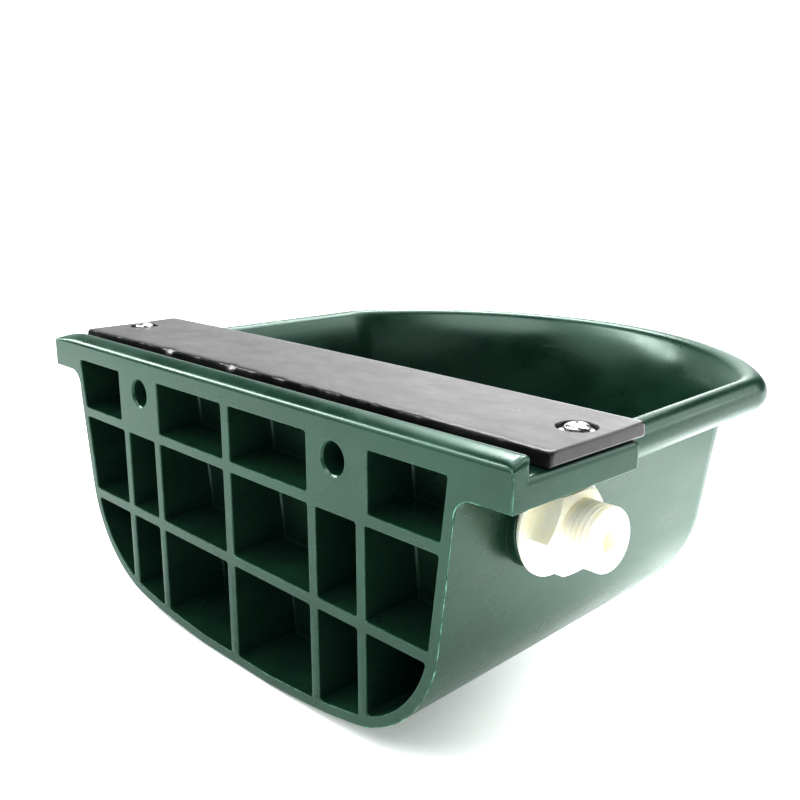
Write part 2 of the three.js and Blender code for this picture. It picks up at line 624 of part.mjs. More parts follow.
// Hexagon nut with its outer corners chamfered by a cone.
function lockNut() {
  const hexagon = prismZ(hexagonWithHole(NUT_ACROSS_CORNERS, boreOnStub), 0, NUT_THICKNESS);
  const prism = hexagon.rotateZ(NUT_TURN - Math.PI / 2).rotateY(Math.PI / 2).translate(NUT_X, 0, 0);
  const corner = NUT_ACROSS_CORNERS / 2;
  const cone = turnedX([
    [0, NUT_X],
    [corner - 2 * NUT_CHAMFER, NUT_X],
    [corner, NUT_X + NUT_CHAMFER],
    [corner, NUT_X + NUT_THICKNESS + 1],
    [0, NUT_X + NUT_THICKNESS + 1],
  ], 48);
  return atValve(geometryOf(solid(prism).intersect(solid(cone))));
}

addPiece('lock_nut', lockNut(), WHITE_PLASTIC);

const innerWasher = ringProfile(boreOnStub, SHOULDER_RADIUS, INNER_WASHER_X, INNER_WASHER_X + INNER_WASHER_THICKNESS);
addPiece('inner_seal_washer', atValve(turnedX(innerWasher, 36)), BLACK_RUBBER);

// Hollow nozzle with a rounded lip, flanged against the barrel's floor.
function nozzleSeat() {
  const flangeX = BARREL_FLOOR_X + GAP;
  return atValve(turnedX([
    [1.6, flangeX - 10],
    [INLET_RADIUS - GAP, flangeX - 10],
    [INLET_RADIUS - GAP, flangeX],
    [6.6, flangeX],
    [6.6, flangeX + 0.7],
    [3.6, flangeX + 0.7],
    [2.6, NOZZLE_TIP_X],
    [1.6, NOZZLE_TIP_X],
    [1.6, flangeX - 10],
  ], 24));
}

addPiece('nozzle_seat', nozzleSeat(), BRIGHT_STEEL);

// Cap that closes the barrel, with a short spigot inside the bore.
const CAP_X = BARREL_END_X + GAP;
addPiece('barrel_cap', atValve(turnedX([
  [0, CAP_X - 1.8],
  [BARREL_BORE - GAP, CAP_X - 1.8],
  [BARREL_BORE - GAP, CAP_X],
  [BARREL_RADIUS, CAP_X],
  [BARREL_RADIUS, CAP_X + 1.8],
  [BARREL_RADIUS - 0.8, CAP_X + 2.6],
  [0, CAP_X + 2.6],
])), WHITE_PLASTIC);

// Pin across the lugs, with a head on one end and a clip on the other.
const HEAD_FACE = LUG_OUTER + GAP;
const PIN_END = LUG_OUTER + 2.4;
const atPivot = (geometry) => geometry.translate(PIVOT_X, VALVE_Y, PIVOT_Z);
addPiece('pivot_pin', atPivot(lathe([
  [0, -HEAD_FACE - 1.6],
  [PIN_RADIUS + 1.4, -HEAD_FACE - 1.6],
  [PIN_RADIUS + 1.4, -HEAD_FACE],
  [PIN_RADIUS, -HEAD_FACE],
  [PIN_RADIUS, PIN_END],
  [0, PIN_END],
], 20)), BRIGHT_STEEL);
addPiece('pivot_clip', atPivot(lathe(ringProfile(PIN_RADIUS + GAP, 4.2, HEAD_FACE, HEAD_FACE + 0.9), 20)), BRIGHT_STEEL);

// ---------------------------------------------------------------- plunger

// Slides in the barrel and holds the seal against the nozzle. The arm's leg sits in its slot.
function plunger() {
  const frontX = SEAL_FACE_X + SEAL_THICKNESS + GAP;
  const slotX = PIVOT_X + LEG_LENGTH * Math.sin(LEG_LEAN);
  const slotTop = LEG_TIP_RADIUS + 0.7;
  const rod = solid(turnedX(discProfile(BARREL_BORE - 0.4, frontX, BARREL_END_X - 2.4)));
  const slot = solid(block(slotX - SLOT_HALF_WIDTH, slotX + SLOT_HALF_WIDTH, -2.6, 2.6, -BARREL_BORE - 1, slotTop));
  return atValve(geometryOf(rod.subtract(slot)));
}

addPiece('plunger', plunger(), WHITE_PLASTIC);
const SEAL_BACK_X = SEAL_FACE_X + SEAL_THICKNESS;
addPiece('plunger_seal', atValve(turnedX(discProfile(SEAL_RADIUS, SEAL_FACE_X, SEAL_BACK_X), 24)), BLACK_RUBBER);
const retainer = ringProfile(SEAL_RADIUS + GAP, BARREL_BORE - 0.6, SEAL_FACE_X + 0.5, SEAL_BACK_X);
addPiece('seal_retainer', atValve(turnedX(retainer, 24)), WHITE_PLASTIC);

// ---------------------------------------------------------------- float arm

const arm = new THREE.Group();
arm.position.set(PIVOT_X, VALVE_Y, PIVOT_Z);
arm.rotation.y = ARM_SLOPE;
root.add(arm);

// Hub on the pin, short leg up into the plunger, and an arm that steps sideways to the rod's socket.
function lever() {
  const leanHere = LEG_LEAN - ARM_SLOPE;
  const hub = solid(lathe(discProfile(HUB_RADIUS, -HUB_HALF_WIDTH, HUB_HALF_WIDTH), 24));
  const legPiece = solid(block(-1.4, 1.4, -LEG_HALF_WIDTH, LEG_HALF_WIDTH, 2, LEG_LENGTH).rotateY(leanHere));
  const tipDisc = lathe(discProfile(LEG_TIP_RADIUS, -LEG_HALF_WIDTH, LEG_HALF_WIDTH), 20);
  const tip = solid(tipDisc.translate(0, 0, LEG_LENGTH).rotateY(leanHere));
  const plate = solid(prismZ(shapeOf([
    [0, -PLATE_HALF_WIDTH],
    [12, -PLATE_HALF_WIDTH],
    [20, FLOAT_SIDESTEP - PLATE_HALF_WIDTH],
    [SOCKET_START + 4, FLOAT_SIDESTEP - PLATE_HALF_WIDTH],
    [SOCKET_START + 4, FLOAT_SIDESTEP + PLATE_HALF_WIDTH],
    [SOCKET_START, FLOAT_SIDESTEP + PLATE_HALF_WIDTH],
    [16, PLATE_HALF_WIDTH],
    [0, PLATE_HALF_WIDTH],
  ]), -PLATE_HALF_WIDTH, PLATE_HALF_WIDTH));
  const socket = solid(turnedX([
    [0, SOCKET_START],
    [SOCKET_RADIUS - 1.2, SOCKET_START],
    [SOCKET_RADIUS, SOCKET_START + 1.2],
    [SOCKET_RADIUS, SOCKET_END],
    [0, SOCKET_END],
  ], 24).translate(0, FLOAT_SIDESTEP, 0));
  const pinHole = solid(lathe(discProfile(PIN_RADIUS + GAP, -5, 5), 20));
  const rodHole = solid(turnedX(discProfile(ROD_RADIUS + GAP, ROD_START - GAP, SOCKET_END + 1), 20)
    .translate(0, FLOAT_SIDESTEP, 0));
  return geometryOf(cutAll(joinAll([hub, legPiece, tip, plate, socket]), [pinHole, rodHole]));
}

addPiece('lever', lever(), WHITE_PLASTIC, arm);

const rodGroup = new THREE.Group();
rodGroup.position.y = FLOAT_SIDESTEP;
arm.add(rodGroup);

const FLOAT_START = FLOAT_CENTRE - FLOAT_HALF_LENGTH;
const FLOAT_END = FLOAT_CENTRE + FLOAT_HALF_LENGTH;
const END_NUT_START = FLOAT_END + GAP;
addPiece('float_rod', turnedX(discProfile(ROD_RADIUS, ROD_START, END_NUT_START + 6), 20), BRIGHT_STEEL, rodGroup);

function rodNut(from) {
  const hexagon = hexagonWithHole(ROD_NUT_ACROSS_CORNERS, ROD_RADIUS + GAP);
  return prismZ(hexagon, 0, ROD_NUT_HEIGHT).rotateY(Math.PI / 2).translate(from, 0, 0);
}

addPiece('rod_lock_nut', rodNut(SOCKET_END + GAP), BRIGHT_STEEL, rodGroup);
addPiece('float_end_nut', rodNut(END_NUT_START), BRIGHT_STEEL, rodGroup);

// One half of the float: a thin cup with a rounded end and a sleeve round the rod. The two open mouths face each
// other across a narrow seam. Positions run from the closed end to the mouth.
function floatHalf() {
  const mouth = FLOAT_HALF_LENGTH - GAP / 2;
  const bend = 9;
  const sleeve = ROD_RADIUS + GAP;
  const arc = (radius) => [90, 60, 30, 0].map((degrees) => [
    FLOAT_RADIUS - bend + radius * Math.cos(degrees * DEG),
    bend - radius * Math.sin(degrees * DEG),
  ]);
  return [
    [sleeve, 0],
    ...arc(bend),
    [FLOAT_RADIUS, mouth],
    [FLOAT_RADIUS - FLOAT_SKIN, mouth],
    ...arc(bend - FLOAT_SKIN).reverse(),
    [sleeve + FLOAT_SKIN, FLOAT_SKIN],
    [sleeve + FLOAT_SKIN, mouth],
    [sleeve, mouth],
    [sleeve, 0],
  ];
}

const innerHalf = turnedX(floatHalf(), 32).translate(FLOAT_START, 0, 0);
const outerHalf = turnedX(floatHalf(), 32).rotateZ(Math.PI).translate(FLOAT_END, 0, 0);
addPiece('float_inner_half', innerHalf, FLOAT_PLASTIC, rodGroup);
addPiece('float_outer_half', outerHalf, FLOAT_PLASTIC, rodGroup);

export default root;
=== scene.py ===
import json
import math

import bmesh
import bpy
from mathutils import Matrix, Vector, noise


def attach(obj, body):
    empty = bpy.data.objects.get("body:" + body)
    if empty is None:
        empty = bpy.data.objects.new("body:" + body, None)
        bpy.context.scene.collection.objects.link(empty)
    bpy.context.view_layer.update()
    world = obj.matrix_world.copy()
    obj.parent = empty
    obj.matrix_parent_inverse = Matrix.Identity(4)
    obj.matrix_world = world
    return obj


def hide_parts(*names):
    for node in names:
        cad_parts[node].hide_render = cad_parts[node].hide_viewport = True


# Livestock water trough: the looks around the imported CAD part. Shapes are worked out in millimetres and
# made in metres. y = 0 is the flat rear face, the bowl reaches towards -Y, and z = 0 is the height of the
# wall bolts.

MM = 0.001
TAU = 2 * math.pi


# ------------------------ camera

CAMERA_PLACE = (-342.7, 221.3, 109.8)
CAMERA_AZIMUTH = math.radians(226.72)
CAMERA_ELEVATION = math.radians(14.05)
CAMERA_ROLL = math.radians(-0.21)
CAMERA_LENS = 44.69
CAMERA_SENSOR = 36


def make_camera():
    """The azimuth says where the camera stands, from -Y turning towards +X."""
    a, e, r = CAMERA_AZIMUTH, CAMERA_ELEVATION, CAMERA_ROLL
    back = Vector((math.sin(a) * math.cos(e), -math.cos(a) * math.cos(e), math.sin(e)))
    level = (-back).cross(Vector((0, 0, 1))).normalized()
    above = level.cross(-back)
    right = level * math.cos(r) + above * math.sin(r)
    up = above * math.cos(r) - level * math.sin(r)
    data = bpy.data.cameras.new("camera")
    data.lens = CAMERA_LENS
    data.sensor_width = CAMERA_SENSOR
    data.clip_start = 0.01
    data.clip_end = 50
    camera = bpy.data.objects.new("camera", data)
    facing = Matrix((right, up, back)).transposed().to_4x4()
    camera.matrix_world = Matrix.Translation(Vector(CAMERA_PLACE) * MM) @ facing
    bpy.context.scene.collection.objects.link(camera)
    bpy.context.scene.camera = camera


make_camera()
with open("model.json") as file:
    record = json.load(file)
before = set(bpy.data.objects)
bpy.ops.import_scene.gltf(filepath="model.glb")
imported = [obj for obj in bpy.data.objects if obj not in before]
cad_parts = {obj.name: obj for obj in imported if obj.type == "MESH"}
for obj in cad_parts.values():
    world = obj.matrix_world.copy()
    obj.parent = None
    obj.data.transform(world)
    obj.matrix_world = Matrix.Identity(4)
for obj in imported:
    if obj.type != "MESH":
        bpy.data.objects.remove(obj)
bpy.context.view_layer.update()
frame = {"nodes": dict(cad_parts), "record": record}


# ------------------------ driving sizes, as in the CAD part

GAP = 0.3
HALF_WIDTH = 133.5
SIDE_TAPER = math.radians(2.5)
FRONT_RADIUS = 146.6
FRONT_CENTRE_Y = -111
CORNER_RADIUS = 20
CORNER_GROWTH = 0.35
CORNER_SHARE = 0.55
WALL_DRAFT = math.radians(7.5)
WALL_THICKNESS = 3.2
BOTTOM_RADIUS = 57
BOTTOM_RADIUS_CENTRE_Z = -49.5
BOTTOM_Z = -112.1
BOTTOM_BOW_RADIUS = 514
BOTTOM_FLAT_HALF_WIDTH = 24.5
BEAD_OFFSET = 10.4
BEAD_Z = 3.75
BEAD_RADIUS = 7.5
BEAD_INNER_RADIUS = 4.5
RAIL_HALF_LENGTH = 157.5
RAIL_BOTTOM_Z = 1
RAIL_SHOULDER_Z = 14.6
RAIL_DEPTH = 10.8
RAIL_CORNER_RADIUS = 4.5
RAIL_FAR_END_INSET = 0.02
EAR_LENGTH = 70
EAR_TOP_Z = 11.7
EAR_THICKNESS = 3.5
POCKET_TOP_Z = 7.5
POCKET_MOUTH_CORNER = 1.3
POCKET_FLOOR_CORNER = 0.5
POCKET_DEPTH = 21
FLASH_WIDTH = 0.42
FLASH_FROM_BOTTOM = 8
BACK_WALL_SLOPE = 0.1
BACK_WALL = 4
FRAME_WALL = 4.6
RIB_X = (57.4, 85.9)
RIB_Z = (-19, -61.4)
RIB_HALF_WIDTH = 2.5
CENTRE_RIB_HALF_WIDTH = 2.8
BOSS_X = (55.6, 90.3)
WALL_BOLT_X = 71
WALL_BOLT_RADIUS = 5.9
COVER_REAR_Y = -17.2
COVER_FRONT_Y = -73
COVER_BOTTOM_Z = EAR_TOP_Z + GAP
COVER_THICKNESS = 5.8
COVER_CROWN = 0.9
COVER_REAR_CORNER = 2.2
COVER_FRONT_CORNER = 2.8
COVER_NICKS = ((74, 5, 1.1), (22, 4, 0.9), (63, 4, -0.5))  # x, reach along the edge and depth
COVER_STATIONS = 260
LEFT_SCREW = (-144.6, -49)
RIGHT_SCREW = (145.2, -45.8)
SCREW_SHANK_RADIUS = 2.4
SCREW_HEAD_RADIUS = 4.7
SCREW_HEAD_HEIGHT = 2.6
COUNTERBORE_RADIUS = 7.3
COUNTERBORE_DEPTH = 2.6
SCREW_WASHER_RADIUS = 6.6
SCREW_WASHER_THICKNESS = 0.8
SCREW_END_Z = -2
SCREW_THREAD_TURNS = 9
SCREW_THREAD_PITCH = 0.8
SCREW_THREAD_DEPTH = 0.35
RECESS_HALF_LENGTH = 1.3
RECESS_HALF_WIDTH = 0.35
RECESS_FLOOR = 1.7
VALVE_Y = -49.5
VALVE_Z = -20
PAD_RADIUS = 18.6
OUTER_WASHER_RADIUS = 20
INNER_PAD_RADIUS = 21
PAD_OUTER_X = -133.2
PAD_INNER_X = -122
STUB_RADIUS = 12.1
STUB_END_X = -160.6
STUB_ROUNDING = 1.6
STUB_THREAD_PITCH = 2.2
STUB_THREAD_DEPTH = 0.5
STUB_SEGMENTS = 72
STUB_CUT_X = -124
INLET_RADIUS = 4.75
GASKET_THICKNESS = 1.4
ARM_PIVOT = (-95, -49.5, -38)
ARM_SLOPE = math.radians(12)
FLOAT_SIDESTEP = -6
FLOAT_CENTRE = 125
FLOAT_HALF_LENGTH = 38
FLOAT_RADIUS = 18
FLOAT_SKIN = 1.6
FLOAT_GROOVES = (14, 24)
ROD_RADIUS = 2.5


# ------------------------ mesh helpers

def new_object(name, points, faces):
    mesh = bpy.data.meshes.new(name)
    mesh.from_pydata([Vector(p) * MM for p in points], [], faces)
    obj = bpy.data.objects.new(name, mesh)
    bpy.context.scene.collection.objects.link(obj)
    return obj


def face_outwards(obj):
    work = bmesh.new()
    work.from_mesh(obj.data)
    bmesh.ops.recalc_face_normals(work, faces=work.faces)
    work.to_mesh(obj.data)
    work.free()
    return obj


def loft(name, rings, closed=False):
    """Skins a stack of rings with equally many points, capped at both ends or closed on itself."""
    count = len(rings[0])
    points = [p for ring in rings for p in ring]
    faces = []
    spans = len(rings) if closed else len(rings) - 1
    for ring in range(spans):
        here, there = ring * count, (ring + 1) % len(rings) * count
        for j in range(count):
            k = (j + 1) % count
            faces.append((here + j, here + k, there + k, there + j))
    if not closed:
        faces.append(tuple(reversed(range(count))))
        faces.append(tuple(range(len(points) - count, len(points))))
    return face_outwards(new_object(name, points, faces))


def block(x0, x1, y0, y1, z0, z1):
    low = [(x0, y0, z0), (x1, y0, z0), (x1, y1, z0), (x0, y1, z0)]
    return loft("block", [low, [(x, y, z1) for x, y, _ in low]])


def turned(name, pairs, segments=96):
    """A body of revolution about Z from [radius, z] pairs that start and end on the axis or close up."""
    points, faces = [], []
    rows = []
    ring_profile = pairs[0] == pairs[-1]
    for radius, z in (pairs[:-1] if ring_profile else pairs):
        start = len(points)
        if radius == 0:
            points.append((0, 0, z))
            rows.append([start] * segments)
        else:
            for i in range(segments):
                angle = TAU * i / segments
                points.append((radius * math.cos(angle), radius * math.sin(angle), z))
            rows.append(list(range(start, start + segments)))
    if ring_profile:
        rows.append(rows[0])
    for low, high in zip(rows, rows[1:]):
        for i in range(segments):
            j = (i + 1) % segments
            corners = []
            for corner in (low[i], low[j], high[j], high[i]):
                if corner not in corners:
                    corners.append(corner)
            if len(corners) > 2:
                faces.append(tuple(corners))
    return face_outwards(new_object(name, points, faces))


def place(obj, matrix):
    """Bakes a placement in millimetres into the mesh."""
    move = matrix.copy()
    move.translation = move.translation * MM
    obj.data.transform(move)
    return obj


AXIS_TO_X = Matrix.Rotation(math.pi / 2, 4, "Y")
AXIS_TO_Y = Matrix.Rotation(-math.pi / 2, 4, "X")


def at(x, y, z):
    """A shift in millimetres."""
    return Matrix.Translation(Vector((x, y, z)))


ON_VALVE_AXIS = at(0, VALVE_Y, VALVE_Z) @ AXIS_TO_X


def baked(obj):
    """Applies an object's modifiers to its mesh."""
    scene_state = bpy.context.evaluated_depsgraph_get()
    mesh = bpy.data.meshes.new_from_object(obj.evaluated_get(scene_state))
    obj.modifiers.clear()
    obj.data = mesh
    return obj


def combine(base, tools, operation):
    """Joins or cuts the tools with the base, one after another, and deletes them."""
    for tool in tools:
        step = base.modifiers.new("step", "BOOLEAN")
        step.operation = operation
        step.solver = "MANIFOLD"
        step.object = tool
        baked(base)
        bpy.data.objects.remove(tool)
    return base


def smooth(obj, degrees=32):
    """Smooth shading that keeps edges sharper than the angle."""
    obj.data.shade_smooth()
    obj.data.set_sharp_from_angle(angle=math.radians(degrees))
    even = obj.modifiers.new("even", "WEIGHTED_NORMAL")
    even.keep_sharp = True
    return obj


def piece(obj, name, material, body, slot, *nodes):
    """Finishes a piece: its name, material, the body it rides on and the CAD nodes it stands for."""
    obj.name = name
    obj.data.name = name
    obj.data.materials.clear()
    obj.data.materials.append(material)
    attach(obj, body)
    if nodes:
        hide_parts(*nodes)
    return obj


def softened(node, width, degrees=32, segments=2):
    """A copy of a CAD node with its edges rounded."""
    source = frame["nodes"][node]
    obj = bpy.data.objects.new(node, source.data.copy())
    bpy.context.scene.collection.objects.link(obj)
    work = bmesh.new()
    work.from_mesh(obj.data)
    bmesh.ops.remove_doubles(work, verts=work.verts, dist=1e-6)
    bmesh.ops.dissolve_limit(work, angle_limit=math.radians(1), verts=work.verts, edges=work.edges)
    work.to_mesh(obj.data)
    work.free()
    edge = obj.modifiers.new("edge", "BEVEL")
    edge.width = width * MM
    edge.segments = segments
    edge.limit_method = "ANGLE"
    edge.angle_limit = math.radians(degrees)
    edge.use_clamp_overlap = True
    return smooth(baked(obj), degrees)


# ------------------------ outlines of the bowl

CORNER_STEPS = 9
FRONT_HALF_STEPS = 30
BOTTOM_STEPS = 16
BOW_STEPS = 4


def arc(centre, radius, start, end, steps, first=0):
    """Points of an arc in degrees as pairs."""
    out = []
    for i in range(first, steps + 1):
        angle = math.radians(start + (end - start) * i / steps)
        out.append((centre[0] + radius * math.cos(angle), centre[1] + radius * math.sin(angle)))
    return out


def half_plan(offset, rear_y):
    """Half of the D-shaped outline at an offset outside the wall, from the rear end to the front tip.

    Each entry is a point and its outward direction."""
    along = Vector((-math.sin(SIDE_TAPER), -math.cos(SIDE_TAPER)))
    outward = Vector((math.cos(SIDE_TAPER), -math.sin(SIDE_TAPER)))
    centre = Vector((0, FRONT_CENTRE_Y))
    radius = FRONT_RADIUS + offset
    growth = -CORNER_GROWTH if offset < 0 else 1
    start = Vector((HALF_WIDTH, 0)) + outward * offset
    half_width_in_front = start.x + FRONT_CENTRE_Y * math.tan(SIDE_TAPER)
    corner = min(CORNER_RADIUS + growth * offset, CORNER_SHARE * half_width_in_front)
    inset = start - outward * corner - centre
    reach = radius - corner
    half = inset.dot(along)
    to_corner = -half + math.sqrt(half * half - inset.length_squared + reach * reach)
    corner_centre = centre + inset + along * to_corner
    first = -math.degrees(SIDE_TAPER)
    join = math.degrees(math.atan2(*(corner_centre - centre).yx))
    points = [(start + along * ((rear_y - start.y) / along.y), outward)]
    for middle, size, a, b, steps, skip in (
        (corner_centre, corner, first, join, CORNER_STEPS, 0),
        (centre, radius, join, -90, FRONT_HALF_STEPS, 1),
    ):
        for i in range(skip, steps + 1):
            angle = math.radians(a + (b - a) * i / steps)
            direction = Vector((math.cos(angle), math.sin(angle)))
            points.append((middle + direction * size, direction))
    return points


def plan(offset, rear_y):
    """The D-shaped outline from the right rear end round the front to the left rear end."""
    right = half_plan(offset, rear_y)
    left = [(Vector((-p.x, p.y)), Vector((-n.x, n.y))) for p, n in reversed(right[:-1])]
    return right + left


def plan_ring(offset, z, rear_y):
    return [(p.x, p.y, z) for p, _ in reversed(plan(offset, rear_y))]


def wall_section(depth, top_z):
    """Upright section of the wall as [offset, z] pairs from the bottom to top_z, at a depth in the wall."""
    radius = BOTTOM_RADIUS - depth
    centre = (-BOTTOM_RADIUS + math.sin(WALL_DRAFT) * BOTTOM_RADIUS_CENTRE_Z) / math.cos(WALL_DRAFT)
    lowest = math.asin((HALF_WIDTH + centre) / (BOTTOM_BOW_RADIUS - BOTTOM_RADIUS))
    start = -90 + math.degrees(lowest)
    bow_end = HALF_WIDTH + centre + radius * math.cos(math.radians(start))
    section = []
    for i in range(BOW_STEPS):
        half_width = BOTTOM_FLAT_HALF_WIDTH + (bow_end - BOTTOM_FLAT_HALF_WIDTH) * i / BOW_STEPS
        bow = half_width ** 2 / (2 * BOTTOM_BOW_RADIUS)
        section.append((half_width - HALF_WIDTH, BOTTOM_Z + depth + bow))
    section += arc((centre, BOTTOM_RADIUS_CENTRE_Z), radius, start, -math.degrees(WALL_DRAFT), BOTTOM_STEPS)
    section.append((top_z * math.tan(WALL_DRAFT) - depth / math.cos(WALL_DRAFT), top_z))
    return section


def ring_stack(name, section, rear_y_at):
    return loft(name, [plan_ring(offset, z, rear_y_at(z)) for offset, z in section])


def pocket_floor_y(z):
    return -(POCKET_DEPTH + BACK_WALL_SLOPE * (POCKET_TOP_Z - z))


def back_wall_y(z):
    return pocket_floor_y(z) - BACK_WALL


def bezier(a, b, c, d, steps):
    """Points of a cubic curve after its first one."""
    out = []
    for i in range(1, steps + 1):
        t = i / steps
        out.append(tuple(
            (1 - t) ** 3 * p + 3 * (1 - t) ** 2 * t * q + 3 * (1 - t) * t * t * r + t ** 3 * s
            for p, q, r, s in zip(a, b, c, d)
        ))
    return out


# ------------------------ bowl pieces

def basin_cut():
    """The space that holds the water, with the flare that leads up onto the rolled rim."""
    section = wall_section(WALL_THICKNESS, -22)
    top = (BEAD_OFFSET - BEAD_RADIUS * math.cos(math.radians(30)), BEAD_Z + BEAD_RADIUS * 0.5)
    section += bezier(section[-1], (-4.5, -10), (-2.1, -0.4), top, 10)
    section.append((top[0], 30))
    return ring_stack("basin", section, back_wall_y)


def rim():
    """The rolled rim: one closed section with a bead and a small lip below it, carried round the outline."""
    bead = (BEAD_OFFSET, BEAD_Z)
    section = [(-3, -15), (-2.4, -11), (0.4, -7), (2.8, -3.2), (5, 0.4)]
    section += arc(bead, BEAD_INNER_RADIUS, 180, -52, 14)
    lip = arc((BEAD_OFFSET + 3.3, BEAD_Z - 5.1), 1.45, 120, -60, 4)
    section += lip[1:]
    section += arc(bead, BEAD_RADIUS, -54, 150, 20)
    section += [(2.4, 7.75), (-3, 0), (-7, -15)]
    rings = []
    for at_point, outward in plan(0, -EAR_LENGTH + 2):
        rings.append([(at_point.x + outward.x * o, at_point.y + outward.y * o, z) for o, z in section])
    return loft("rim", rings)


def corner(inset, radius):
    """How far a rounded corner in plan is drawn in, at a distance inset from the end."""
    left = max(0, radius - inset)
    return radius - math.sqrt(radius ** 2 - left ** 2)


def rail_section(x, crown):
    """The rail's upright section: a flat rear face and a crowned top, its rise scaled by crown."""
    top = [(0, 0), (-0.35, 0.95), (-1.1, 1.85), (-2.4, 2.55), (-4, 3.15), (-5.5, 3.62)]
    top += [(-7, 3.98), (-8.2, 4.1), (-9.2, 3.85), (-10, 3.3), (-10.6, 2.4), (-RAIL_DEPTH, 1.5)]
    ring = [(-RAIL_DEPTH, RAIL_BOTTOM_Z), (0, RAIL_BOTTOM_Z)]
    ring += [(y, RAIL_SHOULDER_Z + rise * crown) for y, rise in top]
    front = -RAIL_DEPTH + (corner(RAIL_HALF_LENGTH + x, RAIL_CORNER_RADIUS) if x < 0 else 0)
    return [(x, max(y, front), z) for y, z in ring]


def rail():
    """The rail. Pairs give the inset from its short left or sloping right end and the share of the crown."""
    left = [(0, 0.12), (0.15, 0.38), (0.5, 0.6), (1, 0.77), (1.7, 0.89), (2.6, 0.96), (3.5, 0.99), (4.5, 1)]
    right = [(20, 1), (15, 0.93), (10, 0.78), (6, 0.62), (2.6, 0.46), (1, 0.34), (0, 0.2)]
    rings = [rail_section(inset - RAIL_HALF_LENGTH, crown) for inset, crown in left]
    far_end = RAIL_HALF_LENGTH - RAIL_FAR_END_INSET
    rings += [rail_section(far_end - inset, crown) for inset, crown in right]
    return loft("rail", rings)


def rounded_ring(x0, x1, y0, y1, radius, z):
    """A level rectangle with rounded corners."""
    corners = ((x1 - radius, y1 - radius, 0), (x0 + radius, y1 - radius, 90))
    corners += ((x0 + radius, y0 + radius, 180), (x1 - radius, y0 + radius, 270))
    return [(x, y, z) for cx, cy, a in corners for x, y in arc((cx, cy), radius, a, a + 90, 6)]


def ear(side):
    """A side flange with a rounded top edge."""
    edge = [(0.4, RAIL_BOTTOM_Z), (0.1, RAIL_BOTTOM_Z + 0.3), (0, RAIL_BOTTOM_Z + 0.8)]
    edge += [(3 - r, z) for r, z in arc((0, EAR_TOP_Z - 3), 3, 0, 90, 6)]
    rings = []
    for inset, z in edge:
        xs = sorted((side * (HALF_WIDTH - 10), side * (RAIL_HALF_LENGTH - inset)))
        rings.append(rounded_ring(xs[0], xs[1], -EAR_LENGTH + inset, -2, 3, z))
    return loft("ear", rings)


def ear_hollow(side):
    """Cutter that leaves the ear as a shell, open below."""
    xs = sorted((side * (HALF_WIDTH + 1.5), side * (RAIL_HALF_LENGTH - EAR_THICKNESS)))
    low = rounded_ring(xs[0], xs[1], -EAR_LENGTH + EAR_THICKNESS, -4, 1.5, RAIL_BOTTOM_Z - 6)
    high = [(x, y, EAR_TOP_Z - EAR_THICKNESS) for x, y, _ in low]
    return loft("hollow", [low, high])


def rear_fillet(side):
    """Concave corner between the body's side and the ear's underside, flush with the rear face."""
    x, reach = HALF_WIDTH - 0.5, 8
    low = RAIL_BOTTOM_Z - reach
    outline = [(x - 3, RAIL_BOTTOM_Z + 1), (x - 3, low - 2), (x - 0.9, low)]
    outline += arc((x - 0.9 + reach, low), reach, 180, 90, 10)[1:]
    outline.append((x + reach, RAIL_BOTTOM_Z + 1))
    return loft("fillet", [[(side * px, y, pz) for px, pz in outline] for y in (-4, 0)])


def half_planes(outline):
    """The half planes (nx, nz, distance) of a convex outline that runs anticlockwise."""
    planes = []
    for (x0, z0), (x1, z1) in zip(outline, outline[1:] + outline[:1]):
        length = math.hypot(x1 - x0, z1 - z0)
        if length > 1e-6:
            nx, nz = (z1 - z0) / length, (x0 - x1) / length
            planes.append((nx, nz, nx * x0 + nz * z0))
    return planes


def clipped(planes, inset):
    """Corners of the area inside all the half planes, each moved in by inset."""
    shape = [(-300, -300), (300, -300), (300, 300), (-300, 300)]
    for nx, nz, distance in planes:
        limit = distance - inset
        kept = []
        for (x0, z0), (x1, z1) in zip(shape, shape[1:] + shape[:1]):
            a, b = nx * x0 + nz * z0 - limit, nx * x1 + nz * z1 - limit
            if a <= 0:
                kept.append((x0, z0))
            if (a < 0 < b) or (b < 0 < a):
                t = a / (a - b)
                kept.append((x0 + (x1 - x0) * t, z0 + (z1 - z0) * t))
        shape = kept
    return shape


def rounded_cell(planes, inset, radius, count=80):
    """Outline of a convex cell pulled in by inset, its corners rounded: count points, one per direction."""
    core = clipped(planes, inset + radius)
    out = []
    for k in range(count):
        angle = TAU * (k + 0.5) / count
        nx, nz = math.cos(angle), math.sin(angle)
        x, z = max(core, key=lambda p: p[0] * nx + p[1] * nz)
        out.append((x + radius * nx, z + radius * nz))
    return out


def pocket_cell(side, x0, x1, z0, z1, hollow):
    """Cutter for one open cell of the rear frame, with a flared mouth, drafted walls and a rounded floor."""
    xs = sorted((side * x0, side * x1))
    planes = hollow + [(1, 0, xs[1]), (-1, 0, -xs[0]), (0, 1, z1), (0, -1, -z0)]
    rings = []
    for y, inset in ((1, -0.5), (0, -0.5), (-0.15, -0.22), (-0.5, -0.02), (-1, 0.05)):
        rings.append([(x, y, z) for x, z in rounded_cell(planes, inset, POCKET_MOUTH_CORNER)])
    for above_floor, inset in ((2.2, 0.5), (0.8, 0.75), (0.2, 1.35), (0, 2.1)):
        outline = rounded_cell(planes, inset, POCKET_FLOOR_CORNER)
        rings.append([(x, pocket_floor_y(z) + above_floor, z) for x, z in outline])
    return loft("cell", rings)


